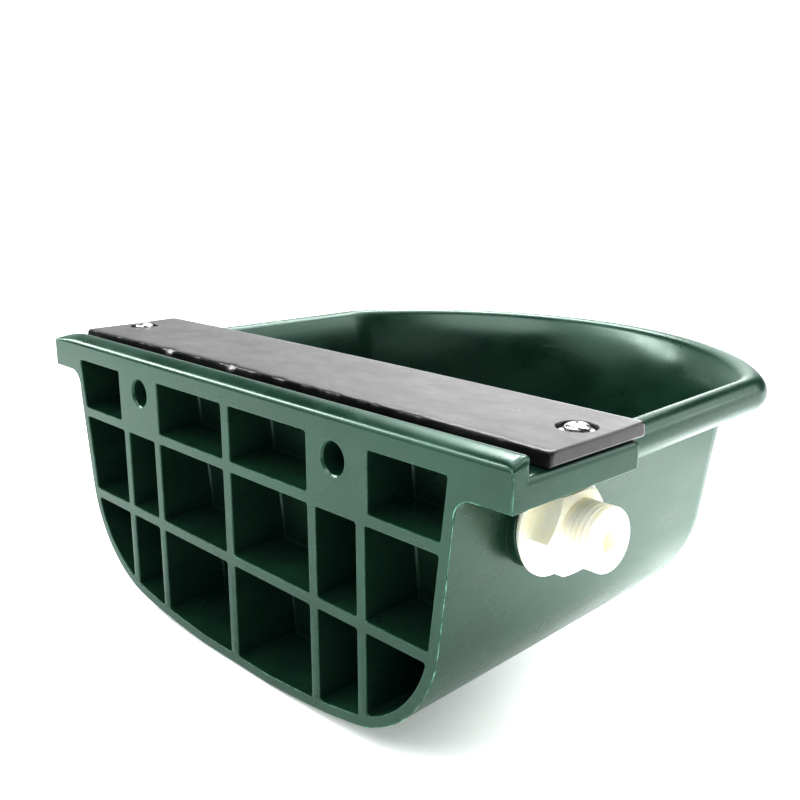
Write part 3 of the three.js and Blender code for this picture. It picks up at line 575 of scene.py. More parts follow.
def pocket_cells():
    """Cutters for all the open cells. The top row leaves the bolt bosses solid."""
    section = [(HALF_WIDTH + offset, z) for offset, z in wall_section(FRAME_WALL, POCKET_TOP_Z)]
    outline = section + [(-x, z) for x, z in reversed(section)]
    hollow = half_planes(outline)
    r = RIB_HALF_WIDTH
    columns = (
        (CENTRE_RIB_HALF_WIDTH, RIB_X[0] - r),
        (RIB_X[0] + r, RIB_X[1] - r),
        (RIB_X[1] + r, HALF_WIDTH + 5),
    )
    top, middle = (RIB_Z[0] + r, POCKET_TOP_Z), (RIB_Z[1] + r, RIB_Z[0] - r)
    bottom = (BOTTOM_Z - 5, RIB_Z[1] - r)
    cells = []
    for side in (-1, 1):
        cells.append(pocket_cell(side, columns[0][0], RIB_X[0] - r, *top, hollow))
        cells.append(pocket_cell(side, BOSS_X[1], columns[2][1], *top, hollow))
        for x0, x1 in columns:
            cells.append(pocket_cell(side, x0, x1, *middle, hollow))
            cells.append(pocket_cell(side, x0, x1, *bottom, hollow))
    return cells


def roughly(x, scale, seed):
    """Smooth noise along x, between -1 and 1."""
    return noise.noise(Vector((x / scale, seed, 0.5))) * 2


def rear_outline():
    """Outline of the rear face below the rail's shoulder: its points and their outward directions."""
    section = [(HALF_WIDTH + offset, z) for offset, z in wall_section(0, -9)]
    ear_turn = arc((HALF_WIDTH + 6.6, -7), 8, 180, 90, 8)
    right = section + ear_turn + [(RAIL_HALF_LENGTH, RAIL_BOTTOM_Z), (RAIL_HALF_LENGTH, 40)]
    outline = [Vector(p) for p in right + [(-x, z) for x, z in reversed(right)]]
    count = len(outline)
    outward = []
    for i in range(count):
        before = (outline[i] - outline[i - 1]).normalized()
        after = (outline[(i + 1) % count] - outline[i]).normalized()
        mean = (before + after).normalized()
        stretch = 1 / max(0.6, mean.dot(before))
        outward.append(Vector((mean.y, -mean.x)) * stretch)
    return outline, outward


def rear_edge_trim():
    """Cutter that rounds the outer edge of the rear face all round, below the rail's shoulder."""
    outline, outward = rear_outline()
    rings = []
    for y, offset in ((-1.2, 0.3), (-0.8, 0.02), (-0.35, -0.12), (-0.1, -0.35), (0, -0.7), (2, -0.7)):
        rings.append([((p + n * offset).x, y, (p + n * offset).y) for p, n in zip(outline, outward)])
    keep = loft("keep", rings)
    return combine(block(-200, 200, -1.1, 1, BOTTOM_Z - 10, 30), [keep], "DIFFERENCE")


def mould_flash():
    """Thin uneven flash that the mould left along the left arris of the rear face."""
    outline, outward = rear_outline()
    low, high = BOTTOM_Z + FLASH_FROM_BOTTOM, RAIL_SHOULDER_Z - 0.6
    path = []
    for i, start in enumerate(outline[:-1]):
        end = outline[i + 1]
        if start.x > 0 or end.x > 0:
            continue
        steps = max(1, round((end - start).length / 1.2))
        for k in range(steps):
            share = k / steps
            path.append((start.lerp(end, share), outward[i].lerp(outward[i + 1], share)))
    rings = []
    for p, n in path:
        if not low < p.y < high:
            continue
        width = FLASH_WIDTH * (0.45 + 0.55 * roughly(p.y + p.x, 5, 2) + 0.35 * roughly(p.y - p.x, 1.7, 5))
        width = max(0.04, width)
        section = ((-0.9, -0.8), (width - 0.1, -0.62), (width, -0.5), (width - 0.06, -0.38), (-0.9, -0.25))
        rings.append([((p + n * out).x, y, (p + n * out).y) for out, y in section])
    return smooth(loft("flash", rings), 50)


def bolt_bore(x):
    """Cutter for a wall-bolt hole with a small chamfer at the rear face."""
    r = WALL_BOLT_RADIUS
    profile = [(0, -40), (r, -40), (r, -1.4), (r + 0.45, -0.6), (r + 1.2, 0), (r + 1.2, 2), (0, 2)]
    return place(turned("bore", profile, 64), at(x, 0, 0) @ AXIS_TO_Y)


def cover_screw_bore(spot):
    """Cutter for a cover screw's hole through the ear."""
    r = SCREW_SHANK_RADIUS + 0.4
    return place(turned("bore", [(0, 0), (r, 0), (r, EAR_TOP_Z + 1), (0, EAR_TOP_Z + 1)], 32), at(*spot, 0))


def valve_disc(radius, x0, x1, chamfer=0):
    """A disc on the valve's axis."""
    edge = [(radius - chamfer, x0)] if chamfer else []
    profile = [(0, x0), *edge, (radius, x0 + chamfer), (radius, x1), (0, x1)]
    return place(turned("disc", profile, 96), ON_VALVE_AXIS)


def bowl_mesh():
    """The bowl as one moulding: the solid shapes first, then the hollows and holes."""
    body = ring_stack("bowl", wall_section(0, RAIL_BOTTOM_Z + 1), lambda z: 0)
    ledge = block(-HALF_WIDTH + 1, HALF_WIDTH - 1, -POCKET_DEPTH - BACK_WALL - 3, -1, -2, EAR_TOP_Z)
    combine(body, [ledge, rim(), ear(-1), ear(1), rail(), rear_fillet(-1), rear_fillet(1)], "UNION")
    combine(body, [basin_cut()], "DIFFERENCE")
    pads = [
        valve_disc(PAD_RADIUS, PAD_OUTER_X, PAD_INNER_X - 2, 0.5),
        valve_disc(INNER_PAD_RADIUS, PAD_INNER_X - 4, PAD_INNER_X),
    ]
    combine(body, pads, "UNION")
    cuts = pocket_cells() + [ear_hollow(-1), ear_hollow(1)]
    cuts.append(valve_disc(STUB_RADIUS + GAP, PAD_OUTER_X - 5, PAD_INNER_X + 5))
    cuts += [cover_screw_bore(LEFT_SCREW), cover_screw_bore(RIGHT_SCREW)]
    cuts += [bolt_bore(-WALL_BOLT_X), bolt_bore(WALL_BOLT_X), rear_edge_trim()]
    return smooth(combine(body, cuts, "DIFFERENCE"), 30)


# ------------------------ cover

def cover_under(x):
    """Height of the bowed underside."""
    return COVER_BOTTOM_Z + COVER_CROWN * (1 - (x / RAIL_HALF_LENGTH) ** 2)


def cover_top(x):
    return cover_under(x) + COVER_THICKNESS


def cover_section(x, shrink):
    """Upright section of the cover at x, thinned by shrink, with a roughly trimmed rear top edge."""
    inset = RAIL_HALF_LENGTH - abs(x)
    top, under = cover_top(x) - shrink, cover_under(x) + 1.6 * shrink
    nick = 0.32 * roughly(x, 9, 3) + 0.22 * roughly(x, 2.6, 8)
    for middle, reach, depth in COVER_NICKS:
        nick += depth * math.exp(-((x - middle) / reach) ** 2)
    rear = COVER_REAR_Y - 0.7 - corner(inset, COVER_REAR_CORNER)
    front = COVER_FRONT_Y + 0.3 * shrink + corner(inset, COVER_FRONT_CORNER)
    dip = max(0, nick) * 0.8
    ring = [(front + 0.6, under), (rear - 0.4, under), (rear, under + 0.4), (rear + 0.15, (top + under) / 2)]
    ring += [(rear - 0.1 - 0.4 * dip, top - 1.5 - dip), (rear - 0.35 - 0.7 * nick, top - 0.75 - 0.7 * dip)]
    ring += [(rear - 1.0 - 1.1 * max(nick, -0.4), top - 0.28 - 0.2 * dip), (rear - 2.1 - dip, top - 0.05)]
    ring += [(rear - 4.5, top), (-31, top - 0.12), (-45, top - 0.2), (-59, top - 0.12), (front + 3, top)]
    ring += [(front + 1.4, top - 0.15), (front + 0.5, top - 0.6), (front, top - 1.4), (front, under + 0.6)]
    return [(x, y, z) for y, z in ring]


def cover_mesh():
    """The cover plate, rounded over its ends, with a stepped recess for each screw."""
    ends = ((0, 0.8), (0.12, 0.5), (0.4, 0.22), (0.9, 0.06), (1.6, 0), (2.2, 0), (2.8, 0))
    limit = RAIL_HALF_LENGTH
    stations = [(inset - limit, shrink) for inset, shrink in ends]
    stations += [((limit - 4) * (2 * i / COVER_STATIONS - 1), 0) for i in range(COVER_STATIONS + 1)]
    stations += [(limit - inset, shrink) for inset, shrink in reversed(ends)]
    plate = loft("cover", [cover_section(x, shrink) for x, shrink in stations])
    cuts = []
    for x, y in (LEFT_SCREW, RIGHT_SCREW):
        floor, lip = cover_top(x) - COUNTERBORE_DEPTH, cover_top(x)
        r, s = COUNTERBORE_RADIUS, SCREW_SHANK_RADIUS + 0.5
        profile = [(0, floor - 9), (s, floor - 9), (s, floor), (r - 0.5, floor), (r - 0.1, floor + 0.5)]
        profile += [(r - 0.1, lip - 0.9), (r + 0.1, lip - 0.4), (r + 0.7, lip + 0.1)]
        profile += [(r + 0.7, lip + 9), (0, lip + 9)]
        cuts.append(place(turned("recess", profile, 64), at(x, y, 0)))
    return smooth(combine(plate, cuts, "DIFFERENCE"), 34)


# ------------------------ small turned pieces

def ring_profile(inner, outer, low, high, edge):
    """Section of a flat ring whose outer corners are chamfered by edge."""
    return [
        (inner, low), (outer - edge, low), (outer, low + edge), (outer, high - edge),
        (outer - edge, high), (inner, high), (inner, low),
    ]


def screw_mesh(x):
    """A cover screw about Z, with the heights of its washer and of its head where the cover is at x."""
    washer_z = cover_top(x) - COUNTERBORE_DEPTH + GAP
    head_z = washer_z + SCREW_WASHER_THICKNESS + GAP
    r, shank = SCREW_HEAD_RADIUS, SCREW_SHANK_RADIUS
    profile = [(0, SCREW_END_Z), (shank - 0.5, SCREW_END_Z), (shank, SCREW_END_Z + 0.5)]
    for i in range(SCREW_THREAD_TURNS):
        z = SCREW_END_Z + 0.9 + i * SCREW_THREAD_PITCH
        profile += [(shank, z), (shank - SCREW_THREAD_DEPTH, z + SCREW_THREAD_PITCH / 2)]
    profile += [(shank, head_z - 2), (shank, head_z), (r - 0.3, head_z), (r, head_z + 0.3)]
    steps = 12
    for i in range(steps):
        angle = math.pi / 2 * i / steps
        profile.append((r * math.cos(angle), head_z + 0.6 + (SCREW_HEAD_HEIGHT - 0.6) * math.sin(angle)))
    profile.append((0, head_z + SCREW_HEAD_HEIGHT))
    return turned("screw", profile, 64), washer_z, head_z


def cross_recess(head_z):
    """Cutter for the screw head's cross recess."""
    length, width = RECESS_HALF_LENGTH, RECESS_HALF_WIDTH
    floor, top = head_z + RECESS_FLOOR, head_z + SCREW_HEAD_HEIGHT + 1
    bars = []
    for turn in (20, 110):
        bar = block(-length, length, -width, width, floor, top)
        bars.append(place(bar, Matrix.Rotation(math.radians(turn), 4, "Z")))
    return bars


def thread_radius(x, angle):
    """Outer radius of the stub at x: a rounded thread that fades out at the lead-in."""
    wave = 0.5 - 0.5 * math.cos(TAU * (x / STUB_THREAD_PITCH + angle / TAU))
    fade = min(1, max(0, (x - STUB_END_X - 1.4) / STUB_THREAD_PITCH))
    return STUB_RADIUS - STUB_THREAD_DEPTH * wave ** 0.8 * fade


def stub_ring(x, radius=None):
    """A ring of the stub at x, with a fixed radius or else with the thread's."""
    ring = []
    for i in range(STUB_SEGMENTS):
        angle = TAU * i / STUB_SEGMENTS
        r = thread_radius(x, angle) if radius is None else radius
        ring.append((x, VALVE_Y + r * math.cos(angle), VALVE_Z + r * math.sin(angle)))
    return ring


def stub_mesh(inner_end):
    """The stub as a closed skin: the bore's mouth, the rounded end, the thread and the inner end."""
    mouth = ((0, 0.5), (0.12, 0.12), (0.5, 0))
    rings = [stub_ring(STUB_END_X + back, INLET_RADIUS + flare) for flare, back in mouth]
    for i in range(7):
        turn = math.pi / 2 * i / 6
        inset, back = STUB_ROUNDING * (1 - math.sin(turn)), STUB_ROUNDING * (1 - math.cos(turn))
        rings.append(stub_ring(STUB_END_X + back, STUB_RADIUS - inset))
    x = STUB_END_X + STUB_ROUNDING + 0.3
    while x < inner_end:
        rings.append(stub_ring(x))
        x += 0.3
    rings += [stub_ring(inner_end, STUB_RADIUS), stub_ring(inner_end, INLET_RADIUS)]
    return loft("stub", rings, closed=True)


def valve_body_mesh():
    """The moulded valve body: the CAD barrel, shoulder and lugs with rounded edges, and a threaded stub."""
    inner = softened("valve_body", 0.35)
    inner.modifiers.clear()
    combine(inner, [block(-200, STUB_CUT_X, -90, -10, -60, 20)], "DIFFERENCE")
    return smooth(combine(inner, [stub_mesh(STUB_CUT_X + 0.6)], "UNION"), 38)


def lock_nut_mesh():
    """The CAD lock nut, its shallow chamfers rounded as well."""
    return softened("lock_nut", 0.3, degrees=20, segments=3)


def float_half_profile():
    """Section of a hollow half of the float, from its outer end to its open mouth and back."""
    mouth, bend, sleeve, skin = FLOAT_HALF_LENGTH - GAP / 2, 9, ROD_RADIUS + GAP, FLOAT_SKIN
    outer = arc((FLOAT_RADIUS - bend, bend), bend, -90, 0, 10)
    inner = arc((FLOAT_RADIUS - bend, bend), bend - skin, 0, -90, 8)
    profile = [(sleeve, 0), (sleeve + 3, 0), (sleeve + 3.4, 0.5), (sleeve + 4.2, 0.55)]
    profile += outer[1:]
    groove = FLOAT_RADIUS - 0.5
    for z in FLOAT_GROOVES:
        profile += [(FLOAT_RADIUS, z - 0.9), (groove, z - 0.4), (groove, z + 0.4), (FLOAT_RADIUS, z + 0.9)]
    profile += [(FLOAT_RADIUS, mouth - 0.5), (FLOAT_RADIUS - 0.4, mouth), (FLOAT_RADIUS - skin, mouth)]
    profile += inner
    profile += [(sleeve + skin, skin), (sleeve + skin, mouth), (sleeve, mouth), (sleeve, 0)]
    return profile


ARM_FRAME = at(*ARM_PIVOT) @ Matrix.Rotation(ARM_SLOPE, 4, "Y") @ at(0, FLOAT_SIDESTEP, 0)


def float_half(from_end):
    """One half of the float on the arm: the outer one if from_end."""
    obj = turned("float", float_half_profile(), 96)
    along = FLOAT_HALF_LENGTH if from_end else -FLOAT_HALF_LENGTH
    facing = Matrix.Rotation(math.pi, 4, "Z") if from_end else Matrix.Identity(4)
    return smooth(place(obj, ARM_FRAME @ at(FLOAT_CENTRE + along, 0, 0) @ facing @ AXIS_TO_X), 34)


# ------------------------ materials

class Nodes:
    """Short names for building one material's node tree, in object coordinates in millimetres."""

    def __init__(self, name):
        self.material = bpy.data.materials.new(name)
        self.material.use_nodes = True
        self.tree = self.material.node_tree
        self.shader = self.tree.nodes["Principled BSDF"]
        coordinates = self.tree.nodes.new("ShaderNodeTexCoord")
        self.place = self.scaled(coordinates.outputs["Object"], (1 / MM, 1 / MM, 1 / MM))

    def node(self, kind, **settings):
        made = self.tree.nodes.new(kind)
        for key, value in settings.items():
            setattr(made, key, value)
        return made

    def link(self, source, target):
        self.tree.links.new(source, target)

    def put(self, socket, value):
        if isinstance(value, bpy.types.NodeSocket):
            self.link(value, socket)
        else:
            socket.default_value = value

    def scaled(self, vector, scale):
        mapping = self.node("ShaderNodeMapping")
        mapping.inputs["Scale"].default_value = scale
        self.link(vector, mapping.inputs["Vector"])
        return mapping.outputs["Vector"]

    def noise(self, size, detail=3, roughness=0.55, stretch=(1, 1, 1), distortion=0):
        """Noise between 0 and 1 with features about size millimetres across."""
        made = self.node("ShaderNodeTexNoise")
        made.inputs["Scale"].default_value = 1 / size
        made.inputs["Detail"].default_value = detail
        made.inputs["Roughness"].default_value = roughness
        made.inputs["Distortion"].default_value = distortion
        self.link(self.scaled(self.place, stretch), made.inputs["Vector"])
        return made.outputs["Fac"]

    def ramp(self, value, low, high, out_low=0.0, out_high=1.0):
        made = self.node("ShaderNodeMapRange", interpolation_type="SMOOTHSTEP")
        limits = {"From Min": low, "From Max": high, "To Min": out_low, "To Max": out_high}
        for key, number in limits.items():
            made.inputs[key].default_value = number
        self.link(value, made.inputs["Value"])
        return made.outputs["Result"]

    def maths(self, operation, a, b=0.0):
        made = self.node("ShaderNodeMath", operation=operation)
        self.put(made.inputs[0], a)
        self.put(made.inputs[1], b)
        return made.outputs[0]

    def mix(self, share, a, b):
        made = self.node("ShaderNodeMix", data_type="RGBA")
        self.put(made.inputs["Factor"], share)
        for name, colour in (("A", a), ("B", b)):
            socket = [s for s in made.inputs if s.name == name and s.type == "RGBA"][0]
            self.put(socket, colour if isinstance(colour, bpy.types.NodeSocket) else (*colour, 1))
        return [s for s in made.outputs if s.type == "RGBA"][0]

    def axis(self, which):
        made = self.node("ShaderNodeSeparateXYZ")
        self.link(self.place, made.inputs[0])
        return made.outputs[which]

    def edges(self, radius):
        """About 1 on edges and corners within radius millimetres, 0 on flat faces."""
        bevel = self.node("ShaderNodeBevel", samples=4)
        bevel.inputs["Radius"].default_value = radius * MM
        geometry = self.node("ShaderNodeNewGeometry")
        dot = self.node("ShaderNodeVectorMath", operation="DOT_PRODUCT")
        self.link(bevel.outputs["Normal"], dot.inputs[0])
        self.link(geometry.outputs["Normal"], dot.inputs[1])
        return self.ramp(dot.outputs["Value"], 0.99, 0.86)

    def openness(self, reach):
        """About 1 on flat faces and outer edges, 0 in inner corners within reach millimetres."""
        shade = self.node("ShaderNodeAmbientOcclusion", samples=4)
        shade.inputs["Distance"].default_value = reach * MM
        return self.ramp(shade.outputs["AO"], 0.72, 0.94)

    def finish(self, colour, roughness, height, strength, distance, edge_radius=0.0, edge_share=None):
        self.put(self.shader.inputs["Base Color"], colour)
        self.put(self.shader.inputs["Roughness"], roughness)
        bump = self.node("ShaderNodeBump")
        bump.inputs["Strength"].default_value = strength
        bump.inputs["Distance"].default_value = distance * MM
        self.link(height, bump.inputs["Height"])
        if edge_radius:
            bevel = self.node("ShaderNodeBevel", samples=4)
            bevel.inputs["Radius"].default_value = edge_radius * MM
            normal = bevel.outputs["Normal"]
            if edge_share is not None:
                blend = self.node("ShaderNodeMix", data_type="VECTOR")
                sockets = [s for s in blend.inputs if s.type == "VECTOR"]
                self.link(edge_share, blend.inputs["Factor"])
                self.link(self.node("ShaderNodeNewGeometry").outputs["Normal"], sockets[0])
                self.link(normal, sockets[1])
                normal = [s for s in blend.outputs if s.type == "VECTOR"][0]
            self.link(normal, bump.inputs["Normal"])
        self.link(bump.outputs["Normal"], self.shader.inputs["Normal"])
        return self.material


def green_plastic():
    """Glossy moulded plastic: cloudy colour, pale flow marks, scuffs, and wear on the outer edges."""
    n = Nodes("green_plastic")
    cloud = n.noise(46, 4, 0.6, (1, 0.6, 1.6))
    flow = n.noise(11, 2, 0.5, (0.35, 1, 1.4))
    colour = n.mix(n.ramp(cloud, 0.35, 0.68), (0.0155, 0.061, 0.040), (0.0226, 0.084, 0.056))
    colour = n.mix(n.maths("MULTIPLY", n.ramp(flow, 0.45, 0.8), 0.25), colour, (0.045, 0.10, 0.075))
    scuff_lines = n.noise(6, 2, 0.5, (0.12, 0.6, 1.2), 0.2)
    scuff_zone = n.noise(34, 2)
    scuffs = n.maths("MULTIPLY", n.ramp(scuff_lines, 0.58, 0.78), n.ramp(scuff_zone, 0.5, 0.7))
    colour = n.mix(n.maths("MULTIPLY", scuffs, 0.12), colour, (0.16, 0.25, 0.21))
    wear = n.maths("MULTIPLY", n.edges(0.9), n.ramp(n.noise(7, 4, 0.7), 0.34, 0.66, 0.15, 1))
    outer_edge = n.openness(2.5)
    wear = n.maths("MULTIPLY", wear, outer_edge)
    colour = n.mix(n.maths("MULTIPLY", wear, 0.75), colour, (0.20, 0.42, 0.31))
    roughness = n.maths("ADD", n.ramp(cloud, 0.3, 0.7, 0.23, 0.34), n.maths("MULTIPLY", scuffs, 0.06))
    grain = n.noise(1.2, 1)
    waves = n.maths("MULTIPLY", n.noise(22, 1), 3.0)
    height = n.maths("ADD", n.maths("MULTIPLY", grain, 0.06), waves)
    n.shader.inputs["Specular IOR Level"].default_value = 0.9
    n.shader.inputs["Specular Tint"].default_value = (0.84, 1.0, 0.93, 1)
    return n.finish(colour, roughness, height, 0.35, 0.12, 0.5, outer_edge)


def flash_plastic():
    """The same plastic where it is so thin that light comes through. Its faint green emission is a painted
    glow.
    """
    n = Nodes("flash_plastic")
    colour = n.mix(n.ramp(n.noise(5, 3, 0.6), 0.35, 0.65), (0.03, 0.12, 0.08), (0.30, 0.56, 0.44))
    # Painted glow: a weak green emission that brightens the flash, though it is no lamp.
    n.shader.inputs["Emission Color"].default_value = (0.25, 0.9, 0.5, 1)
    n.shader.inputs["Emission Strength"].default_value = 0.02
    return n.finish(colour, n.ramp(n.noise(1.5, 3), 0.3, 0.7, 0.3, 0.5), n.noise(0.6, 3), 0.4, 0.06)


def black_plastic():
    """The sheet of the cover: streaks, dust specks, worn edges and a dull, chipped rear edge."""
    n = Nodes("black_plastic")
    cloud = n.noise(30, 4, 0.6, (0.5, 1, 1))
    colour = n.mix(n.ramp(cloud, 0.35, 0.7), (0.013, 0.013, 0.014), (0.030, 0.030, 0.031))
    dust = n.node("ShaderNodeTexVoronoi", feature="F1")
    dust.inputs["Scale"].default_value = 1 / 7.0
    n.link(n.place, dust.inputs["Vector"])
    specks = n.ramp(dust.outputs["Distance"], 0.085, 0.04)
    spots = n.maths("MULTIPLY", specks, n.ramp(n.noise(16, 1), 0.55, 0.62))
    colour = n.mix(n.maths("MULTIPLY", spots, 0.7), colour, (0.55, 0.55, 0.55))
    streaks = n.noise(1.6, 3, 0.6, (0.05, 1, 0.6))
    colour = n.mix(n.ramp(streaks, 0.56, 0.74, 0.0, 0.35), colour, (0.075, 0.075, 0.077))
    wear = n.maths("MULTIPLY", n.edges(0.5), n.ramp(n.noise(5, 4, 0.7), 0.45, 0.7))
    colour = n.mix(n.maths("MULTIPLY", wear, 0.5), colour, (0.22, 0.22, 0.22))
    roughness = n.ramp(n.noise(12, 5, 0.65, (0.6, 1, 1)), 0.3, 0.7, 0.34, 0.5)
    rough_rear = n.ramp(n.axis("Y"), COVER_REAR_Y - 3, COVER_REAR_Y - 0.9)
    chip_depth = n.maths("ADD", n.maths("MULTIPLY", rough_rear, 3), 0.22)
    chips = n.maths("MULTIPLY", n.noise(1.1, 4, 0.7), chip_depth)
    height = n.maths("ADD", chips, n.maths("MULTIPLY", n.noise(26, 2), 4.0))
    cut_face = n.ramp(n.axis("Y"), COVER_REAR_Y - 1.75, COVER_REAR_Y - 1.15)
    n.link(n.ramp(cut_face, 0, 1, 0.9, 0.0), n.shader.inputs["Coat Weight"])
    n.link(n.ramp(cut_face, 0, 1, 0.5, 0.12), n.shader.inputs["Specular IOR Level"])
    n.shader.inputs["Coat Roughness"].default_value = 0.35
    return n.finish(colour, roughness, height, 0.4, 0.15, 0.3)


def white_plastic():
    """Translucent natural plastic with faint grime. Its emission stands in for light that shines through."""
    n = Nodes("white_plastic")
    cloud = n.noise(9, 3)
    colour = n.mix(n.ramp(cloud, 0.35, 0.7), (0.92, 0.90, 0.78), (0.96, 0.95, 0.90))
    grime = n.maths("MULTIPLY", n.ramp(n.noise(3, 4, 0.7), 0.6, 0.8), 0.15)
    colour = n.mix(grime, colour, (0.55, 0.52, 0.38))
    n.shader.inputs["Subsurface Weight"].default_value = 0.5
    n.shader.inputs["Subsurface Radius"].default_value = (1.0, 0.9, 0.45)
    n.shader.inputs["Subsurface Scale"].default_value = 2.5 * MM
    n.shader.inputs["Emission Color"].default_value = (1.0, 0.97, 0.78, 1)
    n.shader.inputs["Emission Strength"].default_value = 0.16
    roughness = n.ramp(n.noise(6, 4), 0.3, 0.7, 0.28, 0.42)
    height = n.maths("ADD", n.maths("MULTIPLY", n.noise(0.6, 2), 0.3), n.noise(5, 2))
    return n.finish(colour, roughness, height, 0.25, 0.1, 0.25)


def rubber():
    n = Nodes("rubber")
    colour = n.mix(n.ramp(n.noise(6, 4), 0.35, 0.7), (0.018, 0.018, 0.018), (0.045, 0.045, 0.043))
    roughness = n.ramp(n.noise(3, 3), 0.3, 0.7, 0.62, 0.82)
    return n.finish(colour, roughness, n.noise(0.5, 3), 0.4, 0.08, 0.2)


def bright_steel():
    n = Nodes("bright_steel")
    colour = n.mix(n.ramp(n.noise(4, 4), 0.35, 0.7), (0.62, 0.63, 0.64), (0.78, 0.79, 0.79))
    tarnish = n.maths("MULTIPLY", n.ramp(n.noise(2, 4, 0.7), 0.6, 0.78), 0.35)
    colour = n.mix(tarnish, colour, (0.34, 0.31, 0.27))
    n.shader.inputs["Metallic"].default_value = 1.0
    roughness = n.ramp(n.noise(1.2, 4, 0.6, (0.3, 1, 1)), 0.3, 0.7, 0.2, 0.38)
    return n.finish(colour, roughness, n.noise(0.35, 3, 0.6, (0.3, 1, 1)), 0.2, 0.03, 0.15)


def float_plastic():
    n = Nodes("float_plastic")
    colour = n.mix(n.ramp(n.noise(14, 4), 0.35, 0.7), (0.76, 0.75, 0.70), (0.86, 0.86, 0.83))
    stain = n.maths("MULTIPLY", n.ramp(n.noise(5, 5, 0.7, (1, 1, 0.4)), 0.52, 0.75), 0.3)
    colour = n.mix(stain, colour, (0.52, 0.48, 0.36))
    n.shader.inputs["Subsurface Weight"].default_value = 0.2
    n.shader.inputs["Subsurface Scale"].default_value = 3 * MM
    roughness = n.ramp(n.noise(6, 4), 0.3, 0.7, 0.34, 0.5)
    height = n.maths("ADD", n.maths("MULTIPLY", n.noise(0.8, 2), 0.3), n.noise(8, 2))
    return n.finish(colour, roughness, height, 0.3, 0.12, 0.25)


MATERIALS = {
    make.__name__: make()
    for make in (
        green_plastic, flash_plastic, black_plastic, white_plastic, rubber, bright_steel, float_plastic,
    )
}
SLOT_OF = {row["node"]: row["material_slot"] for row in frame["record"]["subparts"]}
BODY_OF = {node: body for body, nodes in frame["record"]["behaviour"]["bodies"].items() for node in nodes}


def stand_in(obj, name, node):
    """Finishes a piece that stands for one CAD node, with that node's body and slot."""
    slot = SLOT_OF[node]
    return piece(obj, name, MATERIALS[slot], BODY_OF[node], slot, node)


# ------------------------ assembly

stand_in(bowl_mesh(), "moulded_bowl", "bowl")
piece(mould_flash(), "mould_flash", MATERIALS["flash_plastic"], BODY_OF["bowl"], SLOT_OF["bowl"])
stand_in(cover_mesh(), "cover_board", "cover_plate")

for spot, side in ((LEFT_SCREW, "left"), (RIGHT_SCREW, "right")):
    screw, washer_z, head_z = screw_mesh(spot[0])
    combine(screw, cross_recess(head_z), "DIFFERENCE")
    place(smooth(screw, 30), at(*spot, 0))
    stand_in(screw, f"dome_screw_{side}", f"cover_screw_{side}")
    washer_top = washer_z + SCREW_WASHER_THICKNESS
    profile = ring_profile(SCREW_SHANK_RADIUS + GAP, SCREW_WASHER_RADIUS, washer_z, washer_top, 0.2)
    washer = smooth(place(turned("washer", profile, 72), at(*spot, 0)))
    stand_in(washer, f"flat_washer_{side}", f"cover_washer_{side}")
    stand_in(softened(f"cover_nut_{side}", 0.3), f"hex_nut_{side}", f"cover_nut_{side}")

stand_in(valve_body_mesh(), "threaded_valve_body", "valve_body")
stand_in(lock_nut_mesh(), "chamfered_lock_nut", "lock_nut")

gasket_x = PAD_OUTER_X - GAP - GASKET_THICKNESS
flange_x = gasket_x - GAP - GASKET_THICKNESS
for node, name, x, radius in (
    ("outer_gasket", "sealing_gasket", gasket_x, PAD_RADIUS),
    ("outer_washer", "flange_washer", flange_x, OUTER_WASHER_RADIUS),
):
    profile = ring_profile(STUB_RADIUS + GAP, radius, x, x + GASKET_THICKNESS, 0.35)
    stand_in(smooth(place(turned(name, profile, 120), ON_VALVE_AXIS)), name, node)

for from_end, node, name in (
    (False, "float_inner_half", "float_shell_inner"),
    (True, "float_outer_half", "float_shell_outer"),
):
    stand_in(float_half(from_end), name, node)

for node, name, width in (
    ("inner_seal_washer", "seal_washer", 0.3),
    ("nozzle_seat", "nozzle", 0.12),
    ("barrel_cap", "end_cap", 0.4),
    ("pivot_pin", "hinge_pin", 0.25),
    ("pivot_clip", "retaining_clip", 0.15),
    ("plunger", "slide_plunger", 0.25),
    ("plunger_seal", "seal_disc", 0.2),
    ("seal_retainer", "seal_holder", 0.15),
    ("lever", "float_lever", 0.5),
    ("float_rod", "steel_rod", 0.3),
    ("rod_lock_nut", "rod_nut", 0.3),
    ("float_end_nut", "end_nut", 0.3),
):
    stand_in(softened(node, width), name, node)


# ------------------------ floor and light

FLOOR_REACH = 9000
FLOOR_GAP = 0.4
GLOW_CENTRE = (-150, -262)
GLOW_REACH = 255
GLOW_STRENGTH = (0.4, 2.1)  # beyond its reach and at its centre


def floor_material():
    """A pale floor lit from below, as on a light table: strongest beside the bowl's left front."""
    n = Nodes("pale_floor")
    colour = n.mix(n.ramp(n.noise(400, 3), 0.3, 0.7), (0.88, 0.88, 0.88), (0.91, 0.91, 0.91))
    distance = n.node("ShaderNodeVectorMath", operation="DISTANCE")
    n.link(n.place, distance.inputs[0])
    distance.inputs[1].default_value = (*GLOW_CENTRE, BOTTOM_Z)
    glow = n.ramp(distance.outputs["Value"], GLOW_REACH, 0, *GLOW_STRENGTH)
    n.shader.inputs["Emission Color"].default_value = (1, 1, 1, 1)
    n.link(glow, n.shader.inputs["Emission Strength"])
    return n.finish(colour, 0.6, n.noise(3, 2), 0.05, 0.05)


def make_floor():
    reach, z = FLOOR_REACH, BOTTOM_Z - FLOOR_GAP
    corners = [(-reach, -reach, z), (reach, -reach, z), (reach, reach, z), (-reach, reach, z)]
    floor = new_object("floor", corners, [(0, 1, 2, 3)])
    floor.data.materials.append(floor_material())


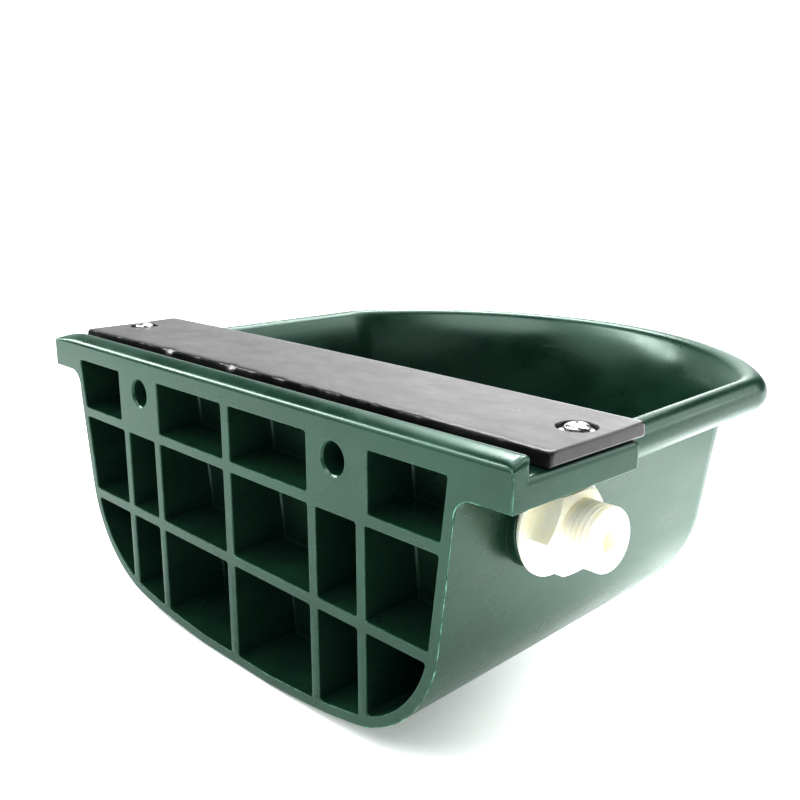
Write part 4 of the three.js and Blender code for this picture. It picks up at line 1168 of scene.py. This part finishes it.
# Softboxes around the object: azimuth from +Y turning towards +X, elevation, half the angle that each one
# covers (all in degrees), and radiance.
SOFTBOXES = {
    "backdrop_right": (108, 8, 15, 1.1),
    "backdrop_low": (148, 7, 15, 1.2),
    "horizon_right": (128, 2, 7, 2.0),
    "horizon_middle": (150, 2, 7, 3.0),
    "backdrop_high": (138, 28, 18, 1.3),
    "key_low": (210, 7, 15, 2.2),
    "side_left": (300, 7, 17, 0.5),
    "fill_left": (318, 30, 21, 0.9),
    "fill_right": (45, 30, 21, 1.8),
    "rim_strip_right": (130, 44, 8, 13),
    "rim_strip_left": (158, 44, 8, 13),
    "rail_strip_near": (66, 46, 7, 13),
    "rail_strip_middle": (75, 35, 7, 13),
    "rail_strip_far": (80, 24, 7, 13),
    "key_high": (205, 34, 19, 2.9),
    "overhead_rear": (0, 58, 21, 4.8),
    "overhead_right": (144, 62, 18, 3.2),
    "overhead_left": (216, 58, 21, 2.0),
}
WORLD_FILL = 0.02
BACKDROP = 1.2
CONTRAST_GAMMA = 0.65


def softbox(name, azimuth, elevation, half_angle, radiance):
    """A soft light that fills a round patch of the surroundings with the given radiance."""
    a, e, half = math.radians(azimuth), math.radians(elevation), math.radians(half_angle)
    direction = Vector((math.sin(a) * math.cos(e), math.cos(a) * math.cos(e), math.sin(e)))
    data = bpy.data.lights.new(name, "SUN")
    data.angle = 2 * half
    data.energy = radiance * math.pi * math.sin(half) ** 2
    lamp = bpy.data.objects.new(name, data)
    lamp.location = direction
    lamp.rotation_mode = "QUATERNION"
    lamp.rotation_quaternion = direction.to_track_quat("Z", "Y")
    bpy.context.scene.collection.objects.link(lamp)


def make_world():
    """White behind the object, and a weak fill everywhere else."""
    world = bpy.data.worlds.new("studio")
    bpy.context.scene.world = world
    world.use_nodes = True
    tree = world.node_tree
    background = tree.nodes["Background"]
    background.inputs["Color"].default_value = (1, 1, 1, 1)
    path = tree.nodes.new("ShaderNodeLightPath")
    level = tree.nodes.new("ShaderNodeMapRange")
    level.inputs["To Min"].default_value = WORLD_FILL
    level.inputs["To Max"].default_value = BACKDROP
    tree.links.new(path.outputs["Is Camera Ray"], level.inputs["Value"])
    tree.links.new(level.outputs["Result"], background.inputs["Strength"])


make_floor()
make_world()
for light, settings in SOFTBOXES.items():
    softbox(light, *settings)

scene = bpy.context.scene
scene.view_settings.view_transform = "Standard"
scene.view_settings.gamma = CONTRAST_GAMMA
